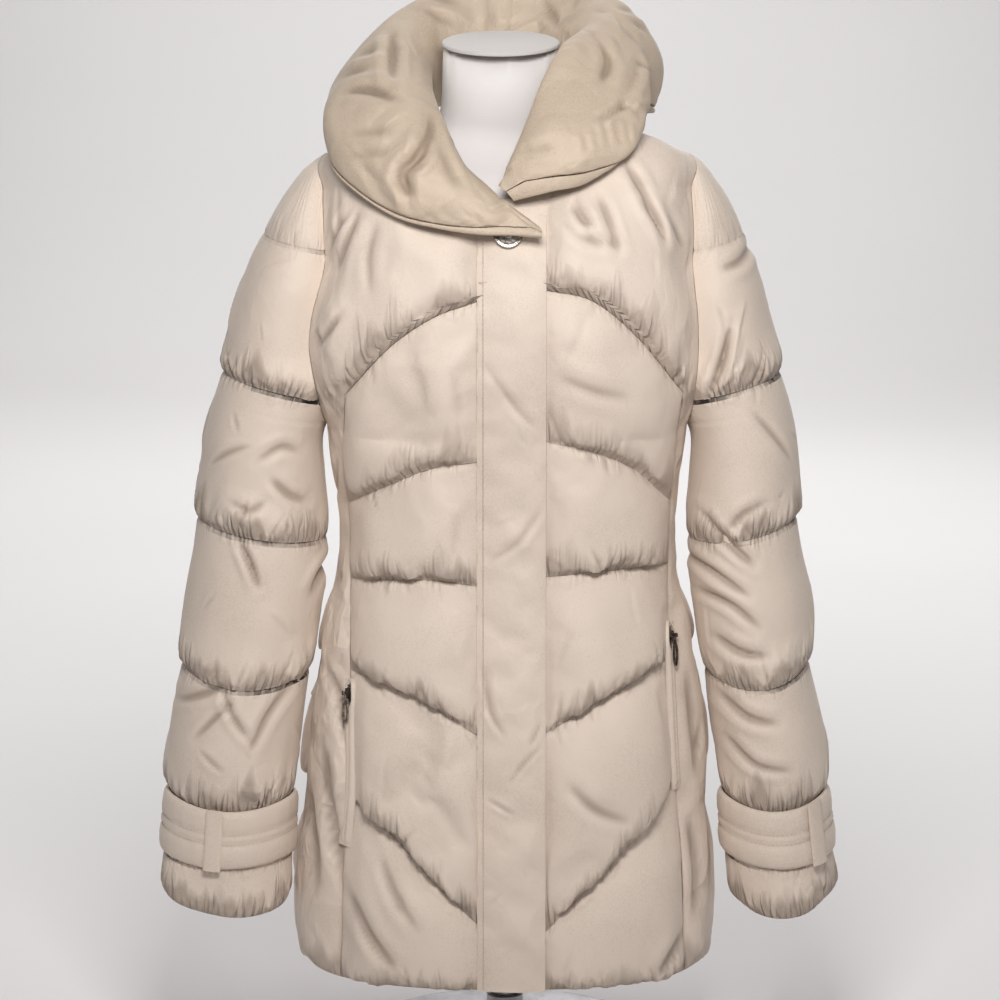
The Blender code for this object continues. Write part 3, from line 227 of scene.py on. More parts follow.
BAND_THICK = 5.5 * MM
BAND_SEAM = 0.008            # half the seam between collar and band, as a share of the way from the neckline
STRAP_THICK = 5 * MM
STRAP_LIFT = 0.5 * MM
LOOP_WIDE = 15 * MM
LOOP_AT = 240 * MM           # height of its middle
LOOP_THICK = 2 * MM
LOOP_TURN = {RIGHT: 100, LEFT: 128}
BASE_RADIUS, BASE_THICK, POLE_RADIUS, FLANGE_THICK, FORM_LOW, GAP = 150, 14, 14, 8, 300, 0.3   # in millimetres
BUTTON_RADIUS = 14 * MM
BUTTON_HIGH = 6 * MM
BUTTON_AT = (3 * MM, 820 * MM)      # across and up
PIN_OUT = 6.7 * MM           # the pin of a zip's slider, out from the seam
CHAIN_OUT, TOOTH_STEP, TOOTH_SIDE = 1.45 * MM, 1.05 * MM, 0.75 * MM     # the teeth: out, along and to each side
SLIDER_DROP = 9 * MM         # the slider below the pocket's top
STRAP_TOP, STRAP_BOTTOM = 5, 6      # the seams above and below a cuff strap, in SLEEVE_SEAMS
SLEEVE_ROUND = 60 * MM       # a sleeve's usual radius, for what is spread evenly round it

# ---------------------------------------------------------------- sizes of the cloth and its creases
UNDER_COLUMNS = 8            # columns of the left front that run on under the placket
ARMHOLE_FADE = 45 * MM       # the padding thins out this far from an armhole
FRONT_PUFF, SIDE_PUFF, CHEST_PUFF, BACK_PUFF = 18 * MM, 9 * MM, 6 * MM, 17 * MM
SLEEVE_PUFF, INNER_SLEEVE_LESS = 5.5, 3     # in millimetres
SEAM_SAMPLE = 1.5 * MM       # spacing of the points that stand for a seam
SAG_REACH, SAG_REACH_SPREAD = 17, 6         # how far above a seam the filling sags, in millimetres
SAG_SLEEVE, SAG_HIGH, SAG_LOW_MORE = 2 * MM, 3.5, 3     # how far it sags: sleeves, chest, more near the hem
HOLLOW_FULL = 2.6 * MM       # a crease this deep gets the full painted shade
STITCH_HALF = 2.2 * MM       # half the width of the groove that stitching pulls in
CREASE_WIDTH, CREASE_DEPTH = 0.75, 1.4      # what the widths and depths in CREASES are multiplied by
COLLAR_WIDTH, COLLAR_DEPTH = 0.85, 1.5      # the same for COLLAR_CREASES

# Creases pressed into the cloth: the piece, two to four points across and up, how wide and how deep.
CREASES = (
    # piece, points (across, height), width, depth
    ("yoke_side_right", ((-137, 842), (-150, 812), (-158, 786)), 5, 3.5),
    ("yoke_side_right", ((-144, 844), (-158, 822), (-168, 796)), 4, 3.0),
    ("yoke_side_right", ((-154, 746), (-167, 728), (-178, 712)), 5, 3.0),
    ("yoke_side_right", ((-120, 830), (-128, 800), (-126, 768)), 6, 1.8),
    ("yoke_side_left", ((130, 850), (144, 832), (153, 812)), 5, 3.5),
    ("yoke_side_left", ((148, 846), (160, 824), (168, 806)), 5, 3.0),
    ("yoke_side_left", ((88, 856), (98, 832), (106, 806)), 6, 3.0),
    ("yoke_side_left", ((112, 888), (132, 856), (150, 818)), 6, 3.5),
    ("yoke_side_left", ((60, 850), (72, 836), (86, 830)), 6, 2.6),
    ("yoke_side_left", ((52, 836), (78, 818), (108, 812)), 7, 2.2),
    ("yoke_side_right", ((-171, 396), (-160, 372), (-152, 335), (-145, 315)), 6, 3.5),
    ("yoke_side_right", ((-176, 330), (-170, 272), (-160, 224), (-150, 190)), 8, 4.0),
    ("yoke_side_right", ((-190, 280), (-184, 230), (-182, 180)), 7, 3.0),
    ("yoke_side_left", ((176, 390), (182, 340), (186, 290)), 6, 3.0),
    ("yoke_side_left", ((178, 250), (186, 200), (184, 150)), 7, 3.0),
    ("centre_front_right", ((-148, 188), (-130, 150), (-106, 120)), 8, 4.0),
    ("centre_front_right", ((-118, 226), (-104, 190), (-84, 160)), 7, 2.4),
    ("centre_front_left", ((172, 140), (160, 122), (150, 106)), 8, 4.0),
    ("centre_front_left", ((62, 300), (88, 276), (120, 262)), 8, 2.4),
    ("centre_front_left", ((50, 690), (84, 676), (118, 668)), 9, 1.6),
    ("placket", ((-20, 408), (-14, 370), (0, 346)), 4, 1.6),
    ("placket", ((34, 358), (24, 338)), 3, 1.2),
    ("placket", ((34, 336), (18, 320), (4, 302)), 3, 1.4),
    ("placket", ((-16, 286), (8, 272)), 3, 1.3),
    ("placket", ((-18, 700), (10, 660), (30, 640)), 5, 1.2),
    ("placket", ((34, 560), (12, 530), (-14, 512)), 5, 1.2),
    ("sleeve_left", ((215, 730), (208, 700), (194, 660)), 6, 5.0),
    ("sleeve_left", ((240, 806), (226, 790), (206, 784)), 7, 2.6),
    ("sleeve_left", ((188, 548), (214, 520), (238, 500)), 6, 4.5),
    ("sleeve_left", ((176, 500), (200, 490), (232, 470)), 6, 4.0),
    ("sleeve_left", ((184, 470), (214, 462), (244, 440)), 6, 3.5),
    ("sleeve_left", ((206, 520), (224, 545), (250, 560)), 6, 2.6),
    ("sleeve_left", ((202, 428), (224, 416), (252, 412)), 7, 4.0),
    ("sleeve_left", ((206, 372), (232, 352), (262, 346)), 7, 3.4),
    ("sleeve_left", ((214, 330), (240, 306), (276, 300)), 6, 3.0),
    ("sleeve_right", ((-254, 520), (-244, 500), (-236, 478)), 5, 4.5),
    ("sleeve_right", ((-222, 582), (-206, 566), (-190, 558)), 6, 3.4),
    ("sleeve_right", ((-161, 503), (-176, 486), (-186, 466)), 6, 4.0),
    ("sleeve_right", ((-230, 560), (-246, 552), (-262, 560)), 6, 2.6),
    ("sleeve_right", ((-318, 362), (-292, 372), (-272, 380)), 6, 3.2),
    ("sleeve_right", ((-272, 380), (-262, 354), (-244, 328)), 5, 3.0),
    ("sleeve_right", ((-300, 330), (-280, 350), (-262, 366)), 5, 2.8),
    ("sleeve_right", ((-236, 600), (-214, 612), (-196, 606)), 6, 2.4),
    ("sleeve_right", ((-206, 380), (-228, 352), (-246, 316)), 6, 3.0),
    ("back", ((-150, 560), (-110, 548), (-70, 552)), 7, 2.6),
    ("back", ((150, 545), (112, 536), (64, 546)), 7, 2.6),
    ("back", ((-140, 842), (-118, 806), (-110, 770)), 8, 3.0),
    ("back", ((138, 840), (120, 802), (106, 772)), 8, 3.0),
    ("back", ((-168, 240), (-140, 210), (-100, 190)), 8, 3.2),
    ("back", ((166, 250), (138, 216), (104, 200)), 8, 3.2),
    ("back", ((-60, 440), (-20, 424), (30, 430)), 8, 2.0),
)


# The collar's folds: two to four places (round the neck, out to the edge), width, depth; below 0 it is a ridge.
COLLAR_CREASES = (
    # places, width, depth
    (((0.290, 0.35), (0.257, 0.52), (0.262, 0.67), (0.230, 0.74)), 7, 6.5),
    (((0.290, 0.33), (0.223, 0.35), (0.170, 0.41)), 6, -3.0),
    (((0.458, 0.48), (0.408, 0.46), (0.360, 0.50)), 6, 5.0),
    (((0.402, 0.65), (0.372, 0.58), (0.335, 0.50)), 8, 4.5),
    (((0.450, 0.64), (0.413, 0.52)), 8, -4.0),
    (((0.315, 0.74), (0.268, 0.85)), 5, 2.6),
    (((0.258, 0.68), (0.228, 0.86)), 5, 3.2),
    (((0.343, 0.74), (0.300, 0.60)), 6, -2.6),
    (((0.547, 0.40), (0.550, 0.24)), 5, 3.4),
    (((0.592, 0.36), (0.623, 0.25)), 5, 3.0),
    (((0.500, 0.45), (0.520, 0.30)), 6, -3.0),
    (((0.715, 0.37), (0.745, 0.53), (0.777, 0.53)), 6, 5.0),
    (((0.712, 0.66), (0.792, 0.64)), 6, 4.2),
    (((0.742, 0.74), (0.790, 0.63), (0.823, 0.59)), 4, 4.5),
    (((0.773, 0.74), (0.785, 0.63)), 4, 3.4),
    (((0.700, 0.74), (0.715, 0.64)), 5, 3.2),
    (((0.840, 0.72), (0.815, 0.60)), 3.5, 2.6),
    (((0.870, 0.72), (0.853, 0.62)), 3.5, 2.4),
    (((0.810, 0.74), (0.796, 0.68)), 3, 2.4),
    (((0.660, 0.40), (0.690, 0.60)), 6, 3.4),
    (((0.640, 0.62), (0.670, 0.50)), 6, -3.0),
    (((0.900, 0.60), (0.930, 0.45)), 6, 2.0),
)

# A cuff strap's section: the share of the way down it, and how thick it is there.
STRAP_SECTION = ((0, 0.5), (0.05, 0.84), (0.14, 1.05), (0.27, 1.12), (0.36, 1.02), (0.41, 0.72), (0.46, 0.98),
                 (0.53, 0.98), (0.58, 0.7), (0.63, 1.0), (0.74, 1.12), (0.86, 1.05), (0.95, 0.84), (1, 0.5),
                 (1, 0), (0.5, 0), (0, 0))
STRAP_ROWS = (0.41, 0.58)    # where its two rows of stitching run
# The collar band's section: the share of the way across it, and its height as a share of half its thickness.
BAND_SECTION = ((0, 0.9), (0.12, 1.06), (0.3, 1.14), (0.5, 1.12), (0.72, 1.0), (0.9, 0.85), (1, 0.5), (1.02, 0),
                (1, -0.6), (0.5, -1), (0, -1))

# Loose folds over a piece: how many, lengths, widths and depths, and the ranges of angles from level.
FRONT_FOLDS = ((9, (24, 60), (3, 6), (0.4, 1.1), ((-80, -60), (60, 80), (80, 100))),)
SIDE_FOLDS = ((12, (20, 70), (2.5, 6), (1.0, 3.0), ((-75, -40), (40, 75), (80, 100))),)
BACK_FOLDS = ((40, (20, 70), (2.5, 6), (0.8, 2.6), ((-70, -30), (30, 70), (-15, 15))),)
SLEEVE_FOLDS = ((16, (30, 80), (3, 5), (1.6, 3.6), ((-60, -15), (15, 60), (70, 110))),
                (34, (12, 30), (1.6, 3.0), (0.6, 1.6), ((-80, -10), (10, 80))))
COLLAR_FOLDS = ((20, (16, 50), (2.5, 4), (0.6, 2.0), ((-75, -20), (20, 75), (80, 100))),)
PLACKET_FOLDS = ((14, (10, 34), (2, 4), (0.3, 0.9), ((-65, -20), (20, 65))),)


# ---------------------------------------------------------------- reading the tables
def column(table, index, height):
    """A table's column at heights in metres: a cubic through its values, level beyond its ends."""
    data = np.array(table, float)
    xs, ys = data[:, 0], data[:, index]
    slope = np.gradient(ys, xs)
    slope[1:-1] = (ys[2:] - ys[:-2]) / (xs[2:] - xs[:-2])
    at = np.clip(np.asarray(height) / MM, xs[0], xs[-1])
    i = np.clip(np.searchsorted(xs, at, side="right") - 1, 0, len(xs) - 2)
    step = xs[i + 1] - xs[i]
    t = (at - xs[i]) / step
    start = ys[i] * (1 + 2 * t) * (1 - t) ** 2 + step * slope[i] * t * (1 - t) ** 2
    end = ys[i + 1] * t * t * (3 - 2 * t) + step * slope[i + 1] * t * t * (t - 1)
    return (start + end) * MM


def ease(low, high, value):
    t = np.clip((np.asarray(value, float) - low) / (high - low), 0, 1)
    return t * t * (3 - 2 * t)


def dome(distance, reach):
    return 1 - (1 - np.clip(np.asarray(distance) / reach, 0, 1)) ** 2


def four_point(a, b, c, d, u):
    return 0.5 * (2 * b + u * (c - a) + u * u * (2 * a - 5 * b + 4 * c - d) + u ** 3 * (3 * b - 3 * c + d - a))


def along(points, t):
    """Points at t, from 0 to 1, on the smooth curve through a list of points or arrays."""
    last = len(points) - 1
    t = np.asarray(t, float)
    i = np.clip((t * last).astype(int), 0, last - 1)
    u = t * last - i
    stack = np.array(points, float)
    a, b, c, d = (stack[np.clip(i + k, 0, last)] for k in (-1, 0, 1, 2))
    if stack.ndim > 1:
        u = u[..., None]
    return four_point(a, b, c, d, u)


def named(part, side):
    return part + ("_right" if side == RIGHT else "_left")


def unit(vectors):
    return vectors / np.maximum(np.linalg.norm(vectors, axis=-1, keepdims=True), 1e-12)


# ---------------------------------------------------------------- base surfaces
def body_column(side, z):
    side = np.asarray(side)
    return np.where(side == RIGHT, column(BODY, 1, z), column(BODY, 2, z))


def depth(facing, z):
    return column(BODY, 3 if facing == FRONT else 4, z)


def seam_x(side, z):
    above = body_column(side, SHOULDER_Z) - (z - SHOULDER_Z) / SHOULDER_SLOPE
    return np.where(z > SHOULDER_Z, above, body_column(side, z))


def sleeve_section(side, z):
    outer, inner, deep, forward = (column(SLEEVE[side], k, z) for k in (1, 2, 3, 4))
    return (outer + inner) / 2, (outer - inner) / 2, deep, forward


def armhole_reach(side, z):
    reach = np.zeros_like(z)
    for one in (RIGHT, LEFT):
        middle, half, deep, _ = sleeve_section(one, z)
        k = (middle - seam_x(one, z)) / half
        value = deep * np.sqrt(np.clip(1 - k * k, 0, None))
        reach = np.where(np.asarray(side) == one, value, reach)
    return np.where((z > ARMPIT_Z) & (z < SHOULDER_Z), reach, 0)


def half_width(side, z):
    share = armhole_reach(side, z) / depth(FRONT, z)
    return seam_x(side, z) / (1 - share ** CORNER) ** (1 / CORNER)


def torso(x, facing, z):
    """Points of the body's base surface and the outward directions there."""
    x, z = np.asarray(x, float), np.asarray(z, float)
    side = np.where(x > 0, LEFT, RIGHT)
    w, d = half_width(side, z), depth(facing, z)
    across = np.clip(np.abs(x) / w, 0, 1)
    along_y = (1 - across ** CORNER) ** (1 / CORNER)
    step = 0.5 * MM
    widen = (half_width(side, z + step) - half_width(side, z - step)) / (2 * step)
    deepen = (depth(facing, z + step) - depth(facing, z - step)) / (2 * step)
    rise = -across ** CORNER * widen / w - along_y * deepen / d
    out = np.stack([side * across ** (CORNER - 1) / w, facing * along_y ** (CORNER - 1) / d, rise], -1)
    return np.stack([side * across * w, facing * along_y * d, z], -1), unit(out)


def neck_z(side):
    return SHOULDER_Z + (body_column(side, SHOULDER_Z) - NECK_X) * SHOULDER_SLOPE


def top_z(side, facing, x):
    """Height of a panel's upper edge: the neckline, then the shoulder seam."""
    x = np.abs(x)
    share = np.clip(x / NECK_X, 0, 1)
    shoulder = SHOULDER_Z + (body_column(side, SHOULDER_Z) - x) * SHOULDER_SLOPE
    if facing == FRONT:
        neck = neck_z(side) - NECK_DROP_FRONT * (1 - share ** 1.5)
    else:
        neck = neck_z(side) + NECK_RISE_BACK * (1 - share ** 2)
    return np.where(x >= NECK_X, shoulder, neck)


def long_seam_x(side, z):
    return column(LONG_SEAM, 1 if side == RIGHT else 2, z)


def quilt_z(side, seam, t):
    """Height of a front's quilting seam, t from 0 at the placket to 1 at the long seam; past the last, the hem."""
    if seam >= len(QUILT[side]):
        return np.full(np.shape(t), HEM_Z)
    a, b, c, d = (value * MM for value in QUILT[side][seam])
    row = np.array((2 * a - b, a, b, c, d, 2 * d - c))
    position = np.clip(t, 0, 1) * 3
    i = np.clip(position.astype(int), 0, 2)
    return four_point(row[i], row[i + 1], row[i + 2], row[i + 3], position - i)


def wrap_x(side, z, start, t):
    end, w = seam_x(side, z), half_width(side, z)
    straight = start + (end - start) * t
    first = np.arcsin(np.clip(start / w, 0, 1) ** (CORNER / 2))
    last = np.arcsin(np.clip(end / w, 0, 1) ** (CORNER / 2))
    turned = w * np.sin(first + (last - first) * t) ** (2 / CORNER)
    blend = ease(740 * MM, 670 * MM, z)
    return straight + (turned - straight) * blend


def sleeve_at(side, z, turn):
    middle, half, deep, forward = sleeve_section(side, z)
    deep = deep * np.where(np.sin(turn) < 0, depth(BACK, z) / depth(FRONT, z), 1)
    return np.stack([side * (middle - half * np.cos(turn)), -deep * np.sin(turn) - forward, z], -1)


def sleeve_surface(side, z, turn):
    """Points of the sleeve's base surface, turn from its inner side over its front, and the outward directions."""
    step = 0.5 * MM
    around = sleeve_at(side, z, turn + 0.01) - sleeve_at(side, z, turn - 0.01)
    upward = sleeve_at(side, np.minimum(z + step, SHOULDER_Z), turn) - sleeve_at(side, z - step, turn)
    return sleeve_at(side, z, turn), unit(np.cross(around, upward) * side)


def sleeve_seam_z(seam, turn):
    _, low, high, sag = SLEEVE_SEAMS[seam]
    return (low + (high - low) * (1 - np.cos(turn)) / 2 - sag * np.sin(turn) ** 2) * MM


def collar_surface(u, v):
    """Points of the collar's middle surface: u round the neck, v from the neckline to the free edge."""
    table = np.array(COLLAR, float) * MM
    guides = [along(table[:, g], u) for g in range(5)]
    last = 4
    i = np.clip((v * last).astype(int), 0, last - 1)
    f = (v * last - i)[..., None]
    stack = np.array(guides)
    pick = [np.take_along_axis(stack, np.clip(i + k, 0, last)[None, ..., None], 0)[0] for k in (-1, 0, 1, 2)]
    return four_point(*pick, f)


def collar_out(u, v):
    step = 0.004
    ahead = collar_surface(np.clip(u + step, 0, 1), v) - collar_surface(np.clip(u - step, 0, 1), v)
    over = collar_surface(u, np.clip(v + step, 0, 1)) - collar_surface(u, np.clip(v - step, 0, 1))
    return unit(np.cross(ahead, over))


def band_start(u):
    """Where the band along the collar's edge begins, as a share of the way from the neckline."""
    path = [collar_surface(u, np.full(np.shape(u), k / 12)) for k in range(13)]
    length = sum(np.linalg.norm(b - a, axis=-1) for a, b in zip(path, path[1:]))
    wide = BAND_WIDE[RIGHT] + (BAND_WIDE[LEFT] - BAND_WIDE[RIGHT]) * ease(0.6, 0.75, u)
    return 1 - np.minimum(wide / length, 0.3)


# ---------------------------------------------------------------- padding and creases
def seam_distance(lines, points):
    """Distance of each point to the nearest of the sewn lines."""
    samples = []
    for line in lines:
        for a, b in zip(line, line[1:]):
            count = max(1, int(float(np.linalg.norm(b - a)) / SEAM_SAMPLE))
            samples += [a + (b - a) * k / count for k in range(count)]
        samples.append(line[-1])
    tree = KDTree(len(samples))
    for index, sample in enumerate(samples):
        tree.insert(sample, index)
    tree.balance()
    return np.array([tree.find(point)[2] for point in points.reshape(-1, 3)]).reshape(points.shape[:-1])


def hung(above, below, beside):
    """Share of the full padding: rising slowly from the seam above, rolling under steeply to the seam below."""
    return dome(above, 85 * MM) ** 1.15 * dome(below, 25 * MM) ** 0.85 * dome(beside, 36 * MM) ** 0.85


def pressed(z):
    """How much of the padding stays at the side of the body, where the sleeve lies against it."""
    return 1 - 0.65 * ease(440 * MM, 490 * MM, z) * (1 - ease(650 * MM, 690 * MM, z))


def zip_relief(side, points):
    """0 on the flat cloth beside a pocket zip, 1 away from it."""
    z = points[..., 2]
    seam = torso(side * long_seam_x(side, z), FRONT, z)[0]
    near = ease(POCKET_FLAT, 4 * POCKET_FLAT, np.linalg.norm(points - seam, axis=-1))
    low, high = POCKET_TOP[side] - POCKET_LENGTH - 20 * MM, POCKET_TOP[side] + 20 * MM
    ends = 1 - ease(low - 10 * MM, low + 10 * MM, z) * (1 - ease(high - 10 * MM, high + 10 * MM, z))
    return near + (1 - near) * ends


def ripple(points, size, seed):
    """Smooth noise from -1 to 1 over the points, with waves of about that size."""
    random = np.random.default_rng(seed)
    total = np.zeros(points.shape[:-1])
    for _ in range(7):
        way = random.normal(size=3)
        way *= 2 * math.pi / size / np.linalg.norm(way) * random.uniform(0.7, 1.5)
        total += np.sin(points @ way + random.uniform(0, 2 * math.pi))
    return total / 7 * 1.6


def fold_shape(across):
    """Height over a fold: a gentle climb to a sharp crest at 0, a steep drop and a shallow trough."""
    climb = np.clip(1 + across / 4, 0, 1) ** 2
    drop = 1 - 1.9 * across
    trough = -0.35 * np.clip(1 - (across - 0.7) / 1.8, 0, 1)
    return np.where(across < 0, climb, np.where(across < 0.7, drop, trough))


def valley_shape(across):
    """Height over a pucker: a sharp valley at 0 between two soft swells."""
    across = np.abs(across)
    return -np.clip(1 - across / 1.25, 0, 1) ** 1.15 + 0.4 * np.exp(-((across - 2.2) / 0.9) ** 2)


def add_fold(lift, points, out, spot, way, length, width, deep, bend=0.0, rooted=False):
    """Adds one fold to a piece's lift; a rooted fold starts at the spot and fades out, others fade at both ends.

    A fold with a negative depth is a valley.
    """
    run = points - points[spot]
    within = np.einsum("ij,ij->i", run, run) < (length * 0.75 + 4 * width) ** 2
    near = np.flatnonzero(within & (out @ out[spot] > 0.3))
    along_it, across = run[near] @ way, run[near] @ np.cross(out[spot], way)
    across = across - bend * along_it ** 2 / length
    if rooted:
        share = np.clip(along_it / length, 0, 1)
        taper = (1 - share) ** 1.1 * ease(-0.12, 0.1, along_it / length)
    else:
        taper = np.clip(1 - (2 * along_it / length) ** 2, 0, 1) ** 0.8
    shape = fold_shape if deep > 0 else valley_shape
    lift[near] += abs(deep) * taper * shape(across / (width * (0.45 + 0.55 * taper)))


def level_way(out, angle):
    """A direction on the cloth, turned by an angle from level."""
    level = np.cross((0.0, 0.0, 1.0), out)
    level /= max(np.linalg.norm(level), 1e-9)
    return math.cos(angle) * level + math.sin(angle) * np.cross(out, level)


def loose_folds(points, out, loose, count, seed, lengths, widths, depths, angles):
    """Folds strewn over the loose cloth, no two alike and none on top of another."""
    random = np.random.default_rng(seed)
    lift = np.zeros(len(points))
    places = np.flatnonzero(loose > 0.55)
    used = []
    for _ in range(count):
        tries = random.choice(places, 6)
        gaps = [min((np.linalg.norm(points[t] - points[u]) for u in used), default=1.0) for t in tries]
        spot = int(tries[int(np.argmax(gaps))])
        used.append(spot)
        angle = math.radians(random.uniform(*angles[int(random.integers(len(angles)))]))
        way = level_way(out[spot], angle) * random.choice((-1, 1))
        size = random.uniform(0, 1) ** 1.5
        length, width, deep = (low + (high - low) * size for low, high in (lengths, widths, depths))
        add_fold(lift, points, out, spot, way, length * MM, width * MM,
                 deep * MM * random.uniform(0.7, 1.2) * random.choice((1, 1, -1)), random.uniform(-0.25, 0.25))
    return np.tanh(lift / (6 * MM)) * 6 * MM


def puckers(points, out, grid, rows, seed, every, lengths, depth):
    """Short folds that run away from the sewn rows, most of them upwards."""
    random = np.random.default_rng(seed)
    lift = np.zeros(len(points))
    count, wide = grid
    for row in rows:
        col = random.uniform(0, 3)
        while col < wide - 2:
            c = int(col)
            step = max(np.linalg.norm(points[row * wide + c + 1] - points[row * wide + c]), 0.3 * MM)
            upward = random.random() < 0.75
            away = row + (-6 if upward else 6)
            strong = random.uniform(0.3, 1.0)
            if 0 <= away < count:
                spot = row * wide + c
                way = points[away * wide + c] - points[spot]
                way = way - out[spot] * (way @ out[spot])
                size = np.linalg.norm(way)
                if size > 2 * MM:
                    way /= size
                    lean = math.radians(random.uniform(-32, 32))
                    way = math.cos(lean) * way + math.sin(lean) * np.cross(out[spot], way)
                    length = (lengths[0] + (lengths[1] - lengths[0]) * strong ** 2) * MM * (1 if upward else 0.6)
                    width = random.uniform(2.2, 4.0) * MM
                    deep = depth * MM * strong * (-1 if random.random() < 0.75 else 0.7)
                    add_fold(lift, points, out, spot, way, length, width, deep, random.uniform(-0.2, 0.2), True)
            col += random.uniform(0.5, 1.6) * every * MM / step
    return np.clip(lift, -1.5 * depth * MM, 1.2 * depth * MM)


def press(lift, flat, facing, path, width, deep):
    """Presses one crease along a path into a lift: a sharp trough with a soft swell on each side."""
    path = along(path, np.linspace(0, 1, 17))
    low, high = path.min(0) - 3.5 * width, path.max(0) + 3.5 * width
    near = facing & np.all((flat > low) & (flat < high), axis=-1)
    if not near.any():
        return
    spots = flat[near]
    best = np.full(len(spots), 1.0)
    place = np.zeros(len(spots))
    for k, (a, b) in enumerate(zip(path, path[1:])):
        run = b - a
        t = np.clip(((spots - a) @ run) / (run @ run), 0, 1)
        gap = np.linalg.norm(spots - (a + t[..., None] * run), axis=-1)
        place = np.where(gap < best, (k + t) / 16, place)
        best = np.minimum(best, gap)
    taper = np.sin(np.pi * np.clip(place, 0.03, 0.97)) ** 0.7
    lift[near] += valley_shape(best / width) * taper * deep


def crease(name, points, out, base):
    """Presses the piece's own creases into its points."""
    lift = np.zeros(points.shape[:-1])
    if name == "collar":
        for places, width, deep in COLLAR_CREASES:
            u, v = np.array(places).T
            press(lift, base, np.ones(lift.shape, bool), collar_surface(u, v), width * COLLAR_WIDTH * MM,
                  deep * COLLAR_DEPTH * MM)
    facing = base[..., 1] < 25 * MM if name != "back" else base[..., 1] > -25 * MM
    for piece, path, width, deep in CREASES:
        if piece == name:
            press(lift, points[..., (0, 2)], facing, np.array(path, float) * MM, width * CREASE_WIDTH * MM,
                  deep * CREASE_DEPTH * MM)
    return points + out * lift[..., None]


# ---------------------------------------------------------------- cloth
FRAMES = 20


